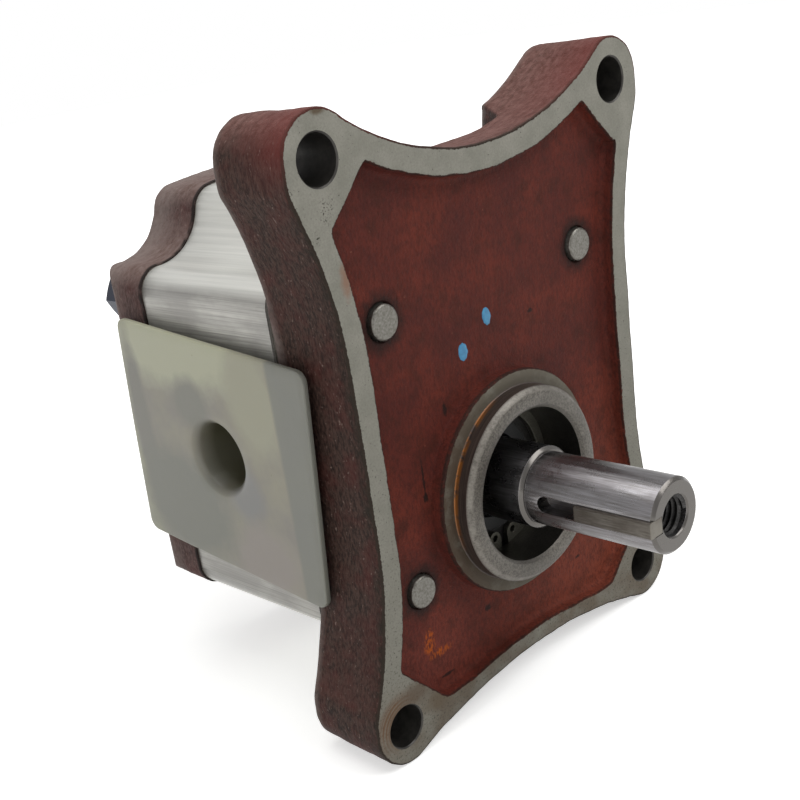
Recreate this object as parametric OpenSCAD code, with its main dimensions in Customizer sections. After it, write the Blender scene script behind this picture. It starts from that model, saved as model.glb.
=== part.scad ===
// External gear pump with a four-ear mounting flange, a keyed drive shaft and two capped side ports.
// The shaft axis is Y. The machined rim of the flange lies at y = 0 and the shaft points to -Y.
// Z is up, and the driven gear lies straight above the driving gear.

/* [Flange] */
// Distance between the ear holes along X
ear_span_x = 120; // [118:0.5:126]
// Distance between the ear holes along Z
ear_span_z = 162.5; // [160:0.5:170]
// Diameter of the ear holes
ear_hole_d = 13; // [10:0.1:14]
// Radius of the round end of each ear
ear_r = 12.5; // [11.5:0.1:15]
// Length of the straight side between each ear's round end and the waist's curve
ear_side_len = 4; // [0:0.5:8]
// Thickness of the flange at its ears
flange_t = 29; // [26:0.5:32]
// Height of the middle between the ears above the middle between the gears
ear_shift_z = 5.2; // [5:0.1:8]
// How far the flange's waist stands out past the housing on each side
waist_over = 1; // [0.8:0.1:3]
// Distance along Z from an ear hole to where the waist runs straight
side_blend_len = 58; // [50:0.5:66]
// Height of the top edge at the middle
top_edge_z = 101.1; // [100:0.1:105]
// Height of the bottom edge at the middle
bottom_edge_z = -57.2; // [-59:0.1:-55]
// Sideways offset of the cast outline from the machined holes
cast_shift = 0.9; // [0:0.1:1.5]
// Width of the machined rim at the top and sides
rim_w = 7.4; // [5:0.1:9]
// Width of the machined rim along the bottom edge
bottom_rim_w = 5.4; // [5:0.1:8]
// Distance from each ear hole to the slanted edge of its machined pad
ear_pad_reach = 12.8; // [11:0.1:15]
// Depth of the unmachined floor inside the rim
floor_depth = 4.3; // [2:0.1:6]
// Thickness of the web between the upper ears
top_web_t = 17.5; // [12:0.5:24]
// Half length of the thin web between the upper ears
top_web_half = 33; // [25:1:40]
// Gap between the housing's top and the relief behind the thin web
top_web_gap = 0.8; // [0.4:0.1:2]

/* [Pilot and seal bore] */
// Diameter of the pilot spigot
pilot_d = 60; // [56:0.5:64]
// Length of the pilot spigot in front of the rim
pilot_out = 6.8; // [5:0.1:10]
// Diameter of the cast foot round the spigot
foot_d = 69; // [66:0.5:72]
// How far the foot stands in front of the rim
foot_out = 0.9; // [0.2:0.1:1.4]
// Bore of the spigot, which holds the shaft seal
seal_bore_d = 47; // [46:0.1:50]
// Place of the retaining ring's front face
circlip_y = 8.4; // [6:0.1:9]
// Thickness of the retaining ring
circlip_t = 1.75; // [1.2:0.05:2]
// Depth of the retaining ring's groove
circlip_groove = 1.2; // [0.8:0.1:1.5]
// Radial width of the retaining ring
circlip_w = 4.4; // [3:0.1:5]
// Width of the shaft seal
seal_w = 7; // [5:0.5:8]

/* [Body] */
// Half of the housing's width
body_half_w = 60.5; // [59:0.1:60.8]
// Half of the housing's height at its middle
body_half_h = 75; // [74:0.5:76]
// Half of the housing's height at its shoulders
shoulder_half_h = 54; // [50:0.5:56]
// Half of the width of the raised middle
crown_half_w = 35.1; // [34:0.1:38]
// Radius of the gentle curve over the raised middle
crown_r = 230; // [180:5:300]
// Radius of the housing's rounded corners
body_corner_r = 8; // [6:0.5:9]
// Radius of the hollow between the raised middle and the shoulder
hollow_r = 18.4; // [14:0.2:19]
// Length of the extruded housing
body_len = 59; // [56:0.5:64]
// Height of the machined seat on the back of the flange
seat_h = 1.5; // [0.5:0.1:3]
// Thickness of the rear cover
cover_t = 25; // [20:0.5:30]
// How far the rear cover stands out past the housing
cover_over = 0.9; // [0.2:0.1:1.5]
// Radius of the rounding along the rear cover's left and right back edges
cover_round = 14; // [8:0.5:16]
// Diameter of the spot faces under the washers
spot_d = 22; // [21:0.5:24]
// Depth of the spot faces in the rear cover's back
spot_depth = 1.2; // [0.8:0.1:2]
// How far the flange's machined seat lies inside the housing's outline
seat_inset = 0.8; // [0.2:0.1:1.5]
// Place of the port centre along the shaft axis, which is also the middle of the gears
port_y = 60; // [58:0.5:63]
// Diameter of the left port
left_port_d = 25; // [20:0.5:27]
// Diameter of the right port
right_port_d = 19; // [16:0.5:22]
// How much narrower the ports are behind the caps' plugs, on the radius
port_step = 2; // [1:0.5:3]
// Bolt circle of the left port
left_port_pcd = 51; // [46:1:54]
// Bolt circle of the right port
right_port_pcd = 40; // [36:1:44]
// Diameter of the tapped holes round the ports
port_tap_d = 8; // [6:0.5:10]
// Depth of the tapped holes round the ports
port_tap_depth = 13; // [8:1:16]

/* [Gears] */
// Distance between the two gear axes
gear_centres = 43; // [42.8:0.1:43.2]
// Number of teeth on each gear
gear_teeth = 12; // [11:1:13]
// Width of the gears
gear_w = 25; // [20:0.5:28]
// Pressure angle of the teeth in degrees
pressure_angle = 26; // [24:0.5:28]
// Play between the teeth at the pitch circle
backlash = 0.3; // [0.2:0.05:0.5]
// Play between the tooth tips and the chamber
tip_play = 0.15; // [0.08:0.01:0.3]
// Play between the tooth tips and the roots that they run into
root_play = 0.9; // [0.6:0.1:1.2]

/* [Shaft] */
// Diameter of the journals
journal_d = 25; // [22:0.5:26]
// Diameter of the shaft's drive end
shaft_d = 22; // [20:0.5:24]
// How far the shaft stands out in front of the rim
shaft_out = 54.7; // [45:0.1:70]
// How far the thicker journal stands out in front of the rim
journal_out = 11; // [8:0.5:14]
// Width of the key
key_w = 5; // [4:0.1:6]
// How far the key stands proud of the shaft
key_proud = 1; // [0.5:0.1:2.5]
// Depth of the keyway below the shaft's surface
keyway_depth = 4.7; // [2:0.1:4.7]
// Length of the keyway
keyway_len = 39; // [20:0.5:42]
// Length of the key
key_len = 25.5; // [15:0.5:30]
// Diameter of the threaded hole in the shaft's end
end_hole_d = 11.9; // [8:0.1:12]
// Depth of the threaded hole in the shaft's end
end_hole_depth = 28; // [15:1:36]

/* [Bolts] */
// Distance between the through bolts along X
bolt_span_x = 85.6; // [84:0.1:90]
// Distance between the through bolts along Z
bolt_span_z = 81.1; // [78:0.1:84]
// Diameter of the through bolts
bolt_d = 10; // [8:0.5:10]
// How far the bolt ends stand proud of the flange's floor
bolt_proud = 1.6; // [0.5:0.1:3]
// Width across the flats of the bolt heads
bolt_head_af = 17; // [15:0.5:18]
// Height of the bolt heads
bolt_head_h = 10; // [6:0.1:12]
// Diameter of the washers
washer_d = 20; // [18:0.5:22]
// Thickness of the washers
washer_t = 2.5; // [1:0.1:3]
// Diameter of the dowel pins
dowel_d = 6; // [5:0.5:8]
// Length of the dowel pins
dowel_len = 16; // [10:1:20]
// Distance of the dowel pins from the middle along X
dowel_x = 52; // [50:0.5:54]
// Distance of the dowel pins above and below the middle
dowel_rise = 28; // [26:0.5:29]

/* [Port caps] */
// Length of the left cap's plate along the body
left_cap_len = 86.4; // [70:0.1:88]
// Height of the left cap's plate
left_cap_h = 73.8; // [60:0.1:78]
// How far the left cap has turned on its plug, in degrees
left_cap_turn = 5.5; // [0:0.1:6]
// Offset of the left cap's plate from its plug along the body
left_cap_shift_y = 0.4; // [-2:0.1:2]
// Offset of the left cap's plate from its plug in height
left_cap_shift_z = -0.5; // [-2:0.1:2]
// Side length of the right cap's square plate
right_cap_side = 50; // [40:1:54]
// Thickness of the caps' plates
cap_plate_t = 2; // [1.5:0.1:4]
// Radius of the caps' corners
cap_corner_r = 3.5; // [2:0.5:8]
// Wall of the caps' hollow plugs
cap_wall = 1.6; // [1:0.1:2.5]
// How much wider the caps' hollows are at their mouths, on the radius
cap_flare = 2; // [0.5:0.1:3]
// How far the caps' plugs reach into the ports
cap_plug_len = 18; // [10:1:22]
// Gap between the caps' plates and the machined sides
cap_gap = 2.8; // [2.6:0.1:4]

/* [Fits] */
// Radial play of the journals in their bushes
journal_play = 0.05; // [0.02:0.01:0.08]
// Play between the bearing blocks and the chamber
block_play = 0.1; // [0.05:0.01:0.2]
// Play at each side of the gears
side_play = 0.08; // [0.05:0.01:0.15]
// Play round the bolts, dowels and other fastened pieces
fit_play = 0.1; // [0.05:0.01:0.2]
// Play between a port cap's plug and its port
plug_play = 0.3; // [0.2:0.05:0.5]

/* [Hidden] */
$fn = 96;
eps = 0.01;
far = 400;

// How far curves that run into each other overlap, so that they join into one outline
bite = 0.02;

// Heights and places along the shaft that the pieces share
mid_z = gear_centres / 2;
ear_mid_z = mid_z + ear_shift_z;
ear_z = [ear_mid_z - ear_span_z / 2, ear_mid_z + ear_span_z / 2];
joint_front = flange_t + seat_h;
joint_rear = joint_front + body_len;
cover_back = joint_rear + cover_t;
spot_y = cover_back - spot_depth;
gear_front = port_y - gear_w / 2;
gear_back = port_y + gear_w / 2;

// Tooth form
gear_module = gear_centres / gear_teeth;
tip_r = gear_centres / 2 + gear_module;
root_r = gear_centres - tip_r - root_play;
base_r = gear_centres / 2 * cos(pressure_angle);
chamber_r = tip_r + tip_play;
flank_steps = 6;

// Bearings and blocks
bush_wall = 1.5;
bush_r = journal_d / 2 + bush_wall;
block_r = chamber_r - block_play;
journal_end_gap = 1.2;
relief_w = 5;
relief_depth = 2.5;

// Seals on the blocks and between the body's parts. The block seals end a little past the gear axes
block_seal_r = 20.2;
block_seal_end = 4;
block_seal_w = 2.2;
block_seal_depth = 2.6;
backup_w = 1.2;
body_seal_r = 30;
body_seal_w = 2.4;
body_seal_depth = 1.9;

// Shaft seal
seal_y = circlip_y + circlip_t + fit_play;
seal_floor_y = seal_y + seal_w + fit_play;
seal_case_wall = 2.6;
seal_web_t = 2;
seal_lip_w = 5.2;
seal_lip_r = journal_d / 2 + journal_play;
lip_t = 2.6;
lip_flare = 0.8;
lip_slant = 0.4;
spring_r = 1.1;
spring_ring_r = seal_lip_r + lip_t + spring_r / 2;
spring_inset = 2;
spring_y = seal_y + seal_w - spring_inset;
shaft_passage_play = 0.6;
shaft_passage_r = journal_d / 2 + shaft_passage_play;

// How far the ends of the relief behind the thin web slope in, for each mm of its depth
web_end_slope = 0.6;

// Small chamfers
edge = 1;
pilot_edge = 1.5;

// An outline drawn in X and Z, pushed out along Y from one place to another
module along_y(from, to) {
    translate([0, to, 0]) rotate([90, 0, 0]) linear_extrude(height = to - from) children();
}

// A profile of radius and place along Y, turned about the shaft axis
module turned(height = 0) {
    translate([0, 0, height]) rotate([-90, 0, 0]) rotate_extrude() children();
}

// Children at the four through bolts
module at_bolts() {
    for (sx = [-1, 1], sz = [-1, 1])
        translate([sx * bolt_span_x / 2, 0, mid_z + sz * bolt_span_z / 2]) children();
}

// Children at the heights of the two gear axes, for outlines
module at_gears() {
    for (z = [0, gear_centres]) translate([0, z]) children();
}

// A plain round bar along Y
module bar_y(r, from, to) {
    translate([0, from, 0]) rotate([-90, 0, 0]) cylinder(r = r, h = to - from);
}

// A plain round bar along X
module bar_x(r, from, to) {
    translate([from, 0, 0]) rotate([0, 90, 0]) cylinder(r = r, h = to - from);
}

// Centres of the curves in a quarter of the housing's outline: the raised middle's round corner,
// the hollow beside it and the round shoulder
crown_x = crown_half_w - body_corner_r;
crown_base = body_half_h - crown_r;
crown_z = crown_base + sqrt(pow(crown_r - body_corner_r, 2) - pow(crown_x, 2));
crown_touch_x = crown_x * crown_r / (crown_r - body_corner_r);
hollow_z = shoulder_half_h + hollow_r;
hollow_x = crown_x + sqrt(pow(hollow_r + body_corner_r, 2) - pow(hollow_z - crown_z, 2));
shoulder_r = body_half_w - hollow_x - bite;
shoulder_z = shoulder_half_h - shoulder_r;

// Outline of the extruded housing, grown outwards by a margin
module body_outline(grow = 0) {
    translate([0, mid_z]) difference() {
        union() {
            square([2 * (body_half_w + grow), 2 * shoulder_z], center = true);
            for (turn = [0, 180]) rotate(turn) {
                intersection() {
                    translate([0, crown_base]) circle(r = crown_r + grow, $fn = 360);
                    translate([-crown_touch_x, 0]) square([2 * crown_touch_x, 2 * body_half_h]);
                }
                polygon([
                    [hollow_x, 0], [hollow_x, hollow_z], [crown_x, crown_z],
                    [-crown_x, crown_z], [-hollow_x, hollow_z], [-hollow_x, 0]
                ]);
                for (side = [-1, 1]) {
                    translate([side * crown_x, crown_z]) circle(r = body_corner_r + grow + bite);
                    translate([side * hollow_x, shoulder_z]) circle(r = shoulder_r + grow + bite);
                }
            }
        }
        for (sx = [-1, 1], sz = [-1, 1]) translate([sx * hollow_x, sz * hollow_z])
            circle(r = hollow_r - grow);
    }
}

// Radius of a hollow curve that touches an ear's circle and is deepest at some distance from the ear
// along the edge, where the edge lies outside the ear's centre by a depth
function hollow_curve_r(run, depth) = (pow(run, 2) + pow(depth, 2) - pow(ear_r, 2)) / (2 * (ear_r - depth));

// Radii and centres of the curves that cut in from the flange's edges
waist_half = body_half_w + waist_over;
top_cut_r = hollow_curve_r(ear_span_x / 2, top_edge_z - ear_z[1]);
bottom_cut_r = hollow_curve_r(ear_span_x / 2, ear_z[0] - bottom_edge_z);
side_cut_r = hollow_curve_r(side_blend_len - ear_side_len, waist_half - ear_span_x / 2);
side_cut_x = waist_half + side_cut_r;

// A point on an ear's circle where it meets a cut's circle
function touch(ear, cut, cut_r) = ear + (cut - ear) * ear_r / (ear_r + cut_r);

// Curves that cut in from the edges, grown by the rim's width when the floor is drawn
module edge_cuts(side_grow = 0, bottom_grow = 0) {
    translate([0, top_edge_z + top_cut_r]) circle(r = top_cut_r + side_grow, $fn = 360);
    translate([0, bottom_edge_z - bottom_cut_r]) circle(r = bottom_cut_r + bottom_grow, $fn = 360);
    for (side = [-1, 1]) {
        r = side_cut_r + side_grow;
        for (z = [ear_z[0] + side_blend_len, ear_z[1] - side_blend_len])
            translate([side * side_cut_x, z]) circle(r = r, $fn = 360);
        translate([side * side_cut_x - r, ear_z[0] + side_blend_len])
            square([2 * r, ear_span_z - 2 * side_blend_len]);
    }
}

// Outline of the flange with its four round ears
module flange_outline() {
    ex = ear_span_x / 2;
    top = [0, top_edge_z + top_cut_r];
    bottom = [0, bottom_edge_z - bottom_cut_r];
    quarter_bottom = [
        touch([ex, ear_z[0]], bottom, bottom_cut_r),
        [ex, ear_z[0]],
        touch([ex, ear_z[0] + ear_side_len], [side_cut_x, ear_z[0] + side_blend_len], side_cut_r)
    ];
    quarter_top = [
        touch([ex, ear_z[1] - ear_side_len], [side_cut_x, ear_z[1] - side_blend_len], side_cut_r),
        [ex, ear_z[1]],
        touch([ex, ear_z[1]], top, top_cut_r)
    ];
    right = concat(quarter_bottom, quarter_top);
    left = [for (i = [len(right) - 1 : -1 : 0]) [-right[i][0], right[i][1]]];
    translate([cast_shift, 0]) {
        difference() {
            polygon(concat(right, left));
            edge_cuts();
        }
        for (sx = [-1, 1], z = ear_z) translate([sx * ex, z]) circle(r = ear_r);
        // Straight sides of the ears, which end in a circle that the waist's curve touches
        for (turn = [0, 180]) translate([0, ear_mid_z]) rotate(turn) {
            square_z = ear_span_z / 2 - ear_side_len;
            translate([-ex - ear_r, square_z]) square([2 * (ex + ear_r), ear_side_len]);
            for (sx = [-1, 1]) translate([sx * ex, square_z]) circle(r = ear_r);
        }
    }
}

// Outline of the unmachined floor inside the rim
module floor_outline() {
    difference() {
        translate([cast_shift - ear_span_x / 2, ear_z[0]]) square([ear_span_x, ear_span_z]);
        translate([cast_shift, 0]) edge_cuts(rim_w, bottom_rim_w);
        for (sx = [-1, 1], z = ear_z) translate([sx * ear_span_x / 2, z])
            rotate(45) square(2 * ear_pad_reach, center = true);
    }
}

// Outline of two gear bores joined into one chamber
module twin_round(r) {
    at_gears() circle(r = r);
}

// Long round outline about both gear axes
module twin_slot(r) {
    at_gears() circle(r = r);
    translate([-r, 0]) square([2 * r, gear_centres]);
}

// Outline of the ring that seals the body joints
module body_seal_outline(play = 0) {
    difference() {
        twin_slot(body_seal_r + body_seal_w / 2 + play);
        twin_slot(body_seal_r - body_seal_w / 2 - play);
    }
}

// Outline of the three-shaped seal behind a bearing block
module block_seal_outline(inner, width) {
    intersection() {
        difference() {
            twin_round(inner + width);
            twin_round(inner);
        }
        translate([-block_seal_end, -far / 2]) square([far, far]);
    }
}

// Dowel places, on opposite corners of the body
dowel_places = [[-dowel_x, mid_z + dowel_rise], [dowel_x, mid_z - dowel_rise]];

// Points along one side of a tooth, from the base circle to the tip
function involute_angle(r) = let (a = acos(base_r / r)) tan(a) * 180 / PI - a;
tooth_half = 90 / gear_teeth - backlash / (gear_centres / 2) * 90 / PI / 2 + involute_angle(gear_centres / 2);
flank = [
    for (i = [0 : flank_steps])
        let (r = base_r + (tip_r - base_r) * i / flank_steps) [r, tooth_half - involute_angle(r)]
];

// Outline of a gear whose first tooth or gap points up
module gear_outline(turn) {
    root_half = flank[0][1];
    rise = concat([[root_r, root_half]], flank);
    tooth = concat(
        [for (p = rise) [p[0], -p[1]]],
        [for (i = [len(rise) - 1 : -1 : 0]) rise[i]]
    );
    pitch = 360 / gear_teeth;
    polygon([
        for (t = [0 : gear_teeth - 1], p = tooth)
            let (a = 90 + turn + t * pitch + p[1]) [p[0] * cos(a), p[0] * sin(a)]
    ]);
}

// A gear with its body filled to the roots, in its place along the shaft
module gear_body(turn) {
    along_y(gear_front + side_play, gear_back - side_play) {
        gear_outline(turn);
        circle(r = root_r + eps);
    }
}

module front_flange() {
    color("indianred") difference() {
        union() {
            difference() {
                along_y(0, flange_t) flange_outline();
                along_y(-eps, floor_depth) floor_outline();
                // Thin web between the upper ears
                translate([0, flange_t + eps, 0]) rotate([0, 0, 180]) top_relief();
            }
            // Foot and spigot round the seal bore
            turned() polygon([
                [0, floor_depth + edge], [0, -pilot_out], [pilot_d / 2 - pilot_edge, -pilot_out],
                [pilot_d / 2, -pilot_out + pilot_edge], [pilot_d / 2, -foot_out],
                [foot_d / 2 - edge, -foot_out], [foot_d / 2, -foot_out + edge],
                [foot_d / 2, floor_depth + edge]
            ]);
            // Machined seat for the housing
            along_y(flange_t - eps, joint_front) body_outline(-seat_inset);
        }
        // Seal bore with its ring groove, and the passage for the shaft
        turned() polygon([
            [0, -far], [seal_bore_d / 2 + far, -far], [seal_bore_d / 2 + edge, -pilot_out],
            [seal_bore_d / 2, -pilot_out + edge], [seal_bore_d / 2, circlip_y],
            [seal_bore_d / 2 + circlip_groove, circlip_y],
            [seal_bore_d / 2 + circlip_groove, circlip_y + circlip_t + fit_play],
            [seal_bore_d / 2, circlip_y + circlip_t + fit_play],
            [seal_bore_d / 2, seal_floor_y], [shaft_passage_r, seal_floor_y],
            [shaft_passage_r, far], [0, far]
        ]);
        // Ear holes
        for (sx = [-1, 1], z = ear_z) translate([sx * ear_span_x / 2, 0, z])
            bar_y(ear_hole_d / 2, -eps, flange_t + eps);
        // Bolt holes with a chamfered mouth on the floor
        at_bolts() {
            bar_y(bolt_d / 2 + fit_play, -eps, joint_front + eps);
            turned() polygon([
                [0, floor_depth - eps], [bolt_d / 2 + edge + eps, floor_depth - eps],
                [bolt_d / 2, floor_depth + edge], [0, floor_depth + edge]
            ]);
        }
        dowel_holes(joint_front);
        along_y(joint_front - body_seal_depth, joint_front + eps) body_seal_outline(fit_play);
    }
}

// Relief behind the upper web, with sloped ends
module top_relief() {
    depth = flange_t - top_web_t;
    slope = depth * web_end_slope;
    translate([0, 0, mid_z + body_half_h + top_web_gap]) linear_extrude(height = far) polygon([
        [-top_web_half, -eps], [top_web_half, -eps],
        [top_web_half - slope, depth], [-top_web_half + slope, depth]
    ]);
}

// Blind holes for the dowel pins, half on each side of a joint
module dowel_holes(joint) {
    for (p = dowel_places) translate([p[0], 0, p[1]])
        bar_y(dowel_d / 2 + fit_play / 2, joint - dowel_len / 2 - fit_play, joint + dowel_len / 2 + fit_play);
}

module gear_housing() {
    color("gainsboro") difference() {
        along_y(joint_front, joint_rear) body_outline();
        along_y(joint_front - eps, joint_rear + eps) twin_round(chamber_r);
        at_bolts() bar_y(bolt_d / 2 + 2 * fit_play, joint_front - eps, joint_rear + eps);
        dowel_holes(joint_front);
        dowel_holes(joint_rear);
        port(-1, left_port_d, left_port_pcd);
        port(1, right_port_d, right_port_pcd);
    }
}

// A side port with its bolt holes: a wide mouth for the plug and a narrower way to the gears
module port(side, d, pcd) {
    mouth_x = body_half_w - cap_plug_len - port_step;
    translate([0, port_y, mid_z]) mirror([side < 0 ? 1 : 0, 0, 0]) {
        bar_x(d / 2, mouth_x, body_half_w + eps);
        bar_x(d / 2 - port_step, 0, body_half_w);
        for (a = [45 : 90 : 315]) rotate([a, 0, 0]) translate([0, pcd / 2, 0])
            bar_x(port_tap_d / 2, body_half_w - port_tap_depth, body_half_w + eps);
    }
}

module rear_cover() {
    side = body_half_w + cover_over;
    color("rosybrown") difference() {
        intersection() {
            along_y(joint_rear, cover_back) body_outline(cover_over);
            // Rounded back edges at the left and right
            translate([0, 0, mid_z - far / 2]) linear_extrude(height = far) {
                translate([-side, joint_rear - eps]) square([2 * side, cover_t - cover_round + eps]);
                translate([cover_round - side, joint_rear]) square([2 * (side - cover_round), cover_t]);
                for (sx = [-1, 1]) translate([sx * (side - cover_round), cover_back - cover_round])
                    circle(r = cover_round);
            }
        }
        at_bolts() {
            bar_y(bolt_d / 2 + 2 * fit_play, joint_rear - eps, cover_back + eps);
            bar_y(spot_d / 2, spot_y, cover_back + eps);
        }
        dowel_holes(joint_rear);
        along_y(joint_rear - eps, joint_rear + body_seal_depth) body_seal_outline(fit_play);
    }
}

module through_bolts() {
    head_y = spot_y + washer_t;
    end_y = floor_depth - bolt_proud;
    color("dimgray") at_bolts() {
        turned() polygon([
            [0, end_y], [bolt_d / 2 - edge / 2, end_y], [bolt_d / 2, end_y + edge / 2],
            [bolt_d / 2, head_y + edge], [0, head_y + edge]
        ]);
        intersection() {
            translate([0, head_y, 0]) rotate([-90, 0, 0])
                cylinder(d = bolt_head_af / cos(30), h = bolt_head_h, $fn = 6);
            turned() polygon([
                [0, head_y], [far, head_y], [far, head_y + bolt_head_h - edge],
                [bolt_head_af / 2 + 1.5 * edge, head_y + bolt_head_h - edge],
                [bolt_head_af / 2 - edge / 2, head_y + bolt_head_h], [0, head_y + bolt_head_h]
            ]);
        }
    }
}

module bolt_washers() {
    color("silver") at_bolts() turned() polygon([
        [bolt_d / 2 + fit_play, spot_y], [washer_d / 2, spot_y],
        [washer_d / 2, spot_y + washer_t], [bolt_d / 2 + fit_play, spot_y + washer_t]
    ]);
}

module dowel_pins() {
    color("darkgray") for (joint = [joint_front, joint_rear], p = dowel_places)
        translate([p[0], joint - dowel_len / 2, p[1]]) turned() polygon([
            [0, 0], [dowel_d / 2 - edge / 2, 0], [dowel_d / 2, edge / 2],
            [dowel_d / 2, dowel_len - edge / 2], [dowel_d / 2 - edge / 2, dowel_len], [0, dowel_len]
        ]);
}

// A bearing block between its gear side and its outer side
module bearing_block(gear_side, outer_side) {
    low = min(gear_side, outer_side);
    high = max(gear_side, outer_side);
    groove = outer_side < gear_side ? [low - eps, low + block_seal_depth] : [high - block_seal_depth, high + eps];
    relief = outer_side < gear_side ? [high - relief_depth, high + eps] : [low - eps, low + relief_depth];
    difference() {
        along_y(low, high) difference() {
            twin_round(block_r);
            at_gears() circle(r = bush_r + fit_play / 2);
        }
        along_y(groove[0], groove[1])
            block_seal_outline(block_seal_r - fit_play, block_seal_w + backup_w + 3 * fit_play);
        // Pockets that let oil out of the closing tooth gaps
        for (side = [-1, 1])
            along_y(relief[0], relief[1])
                translate([side * (root_r / 2) - relief_w / 2, mid_z - relief_w])
                    square([relief_w, 2 * relief_w]);
    }
}

module front_bearing_block() {
    color("lightsteelblue") bearing_block(gear_front, joint_front + block_play);
}

module rear_bearing_block() {
    color("lightsteelblue") bearing_block(gear_back, joint_rear - block_play);
}

// A rolled bush in a block's bore
module bush(height, from, to) {
    turned(height) polygon([
        [journal_d / 2 + journal_play, from], [bush_r, from],
        [bush_r, to], [journal_d / 2 + journal_play, to]
    ]);
}

module drive_front_bush() {
    color("peru") bush(0, joint_front + journal_end_gap, gear_front - journal_end_gap);
}

module drive_rear_bush() {
    color("peru") bush(0, gear_back + journal_end_gap, joint_rear - journal_end_gap);
}

module idler_front_bush() {
    color("peru") bush(gear_centres, joint_front + journal_end_gap, gear_front - journal_end_gap);
}

module idler_rear_bush() {
    color("peru") bush(gear_centres, gear_back + journal_end_gap, joint_rear - journal_end_gap);
}

// Depth span of a block's seal groove, at the front or at the rear block
function groove_span(front) = front
    ? [joint_front + block_play, joint_front + block_play + block_seal_depth - fit_play]
    : [joint_rear - block_play - block_seal_depth + fit_play, joint_rear - block_play];

module block_seal(front) {
    span = groove_span(front);
    along_y(span[0], span[1]) block_seal_outline(block_seal_r, block_seal_w);
}

module backup_ring(front) {
    span = groove_span(front);
    along_y(span[0], span[1]) block_seal_outline(block_seal_r + block_seal_w + fit_play, backup_w);
}

module front_block_seal() {
    color("black") block_seal(true);
}

module rear_block_seal() {
    color("black") block_seal(false);
}

module front_backup_ring() {
    color("ivory") backup_ring(true);
}

module rear_backup_ring() {
    color("ivory") backup_ring(false);
}

module front_body_seal() {
    color("black") along_y(joint_front - body_seal_depth, joint_front) body_seal_outline();
}

module rear_body_seal() {
    color("black") along_y(joint_rear, joint_rear + body_seal_depth) body_seal_outline();
}

module shaft_seal_case() {
    outer = seal_bore_d / 2;
    inner = outer - seal_case_wall;
    web = journal_d / 2 + seal_lip_w;
    color("dimgray") turned() polygon([
        [web, seal_y], [outer - edge / 2, seal_y], [outer, seal_y + edge / 2],
        [outer, seal_y + seal_w], [inner, seal_y + seal_w],
        [inner, seal_y + seal_web_t], [web, seal_y + seal_web_t]
    ]);
}

module shaft_seal_lip() {
    rim = journal_d / 2 + seal_lip_w - fit_play / 2;
    color("black") turned() difference() {
        polygon([
            [seal_lip_r + lip_flare, seal_y], [rim, seal_y], [rim, seal_y + seal_web_t],
            [seal_lip_r + lip_t, seal_y + seal_web_t + lip_slant],
            [seal_lip_r + lip_t, seal_y + seal_w - lip_slant],
            [seal_lip_r + lip_flare, seal_y + seal_w - lip_slant], [seal_lip_r, spring_y],
            [seal_lip_r + lip_flare, seal_y + seal_web_t + lip_slant]
        ]);
        translate([spring_ring_r, spring_y]) circle(r = spring_r + fit_play / 2);
    }
}

module seal_spring() {
    color("silver") turned() translate([spring_ring_r, spring_y]) circle(r = spring_r);
}

// Retaining ring with its gap and two eyes for the pliers
module seal_circlip() {
    outer = seal_bore_d / 2 + circlip_groove - fit_play;
    inner = outer - circlip_w;
    eye_r = 2.6;
    eye_hole_r = 1.1;
    eye_out = 0.4;
    eye_turn = 12;
    gap_half = 4;
    color("slategray") along_y(circlip_y + fit_play / 2, circlip_y + fit_play / 2 + circlip_t) difference() {
        union() {
            difference() {
                circle(r = outer);
                circle(r = inner);
                polygon([
                    [0, 0], [-far * sin(gap_half), -far * cos(gap_half)],
                    [far * sin(gap_half), -far * cos(gap_half)]
                ]);
            }
            for (side = [-1, 1]) rotate(side * eye_turn) translate([0, -inner - eye_out]) circle(r = eye_r);
        }
        for (side = [-1, 1]) rotate(side * eye_turn) translate([0, -inner]) circle(r = eye_hole_r);
    }
}

// Journals, gear and drive end, from front to back
module drive_gear_shaft() {
    color("lightgray") difference() {
        union() {
            turned() polygon([
                [0, -shaft_out], [shaft_d / 2 - edge, -shaft_out], [shaft_d / 2, -shaft_out + edge],
                [shaft_d / 2, -journal_out], [journal_d / 2 - edge, -journal_out],
                [journal_d / 2, -journal_out + edge], [journal_d / 2, joint_rear - journal_end_gap - edge],
                [journal_d / 2 - edge, joint_rear - journal_end_gap], [0, joint_rear - journal_end_gap]
            ]);
            gear_body(0);
        }
        keyway();
        // Threaded hole with a countersunk mouth and a drilled point
        turned() polygon([
            [0, -shaft_out - eps], [end_hole_d / 2 + edge / 2, -shaft_out - eps],
            [end_hole_d / 2, -shaft_out + edge / 2], [end_hole_d / 2, -shaft_out + end_hole_depth],
            [0, -shaft_out + end_hole_depth + end_hole_d / 4]
        ]);
    }
}

// End-milled keyway, open at the shaft's end, with a round inner end
module keyway() {
    floor_x = shaft_d / 2 - keyway_depth;
    round_y = -shaft_out + keyway_len - key_w / 2;
    translate([-floor_x, 0, 0]) rotate([0, -90, 0]) linear_extrude(height = far) {
        translate([0, round_y]) circle(r = key_w / 2 + fit_play / 2);
        translate([-key_w / 2 - fit_play / 2, -far]) square([key_w + fit_play, far + round_y]);
    }
}

module shaft_key() {
    floor_x = shaft_d / 2 - keyway_depth;
    top_x = shaft_d / 2 + key_proud;
    chamfer = 0.4;
    color("darkkhaki") translate([0, -shaft_out + key_len, 0]) rotate([90, 0, 0])
        linear_extrude(height = key_len) polygon([
            [-floor_x, -key_w / 2], [-floor_x, key_w / 2], [-top_x + chamfer, key_w / 2],
            [-top_x, key_w / 2 - chamfer], [-top_x, -key_w / 2 + chamfer], [-top_x + chamfer, -key_w / 2]
        ]);
}

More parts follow.
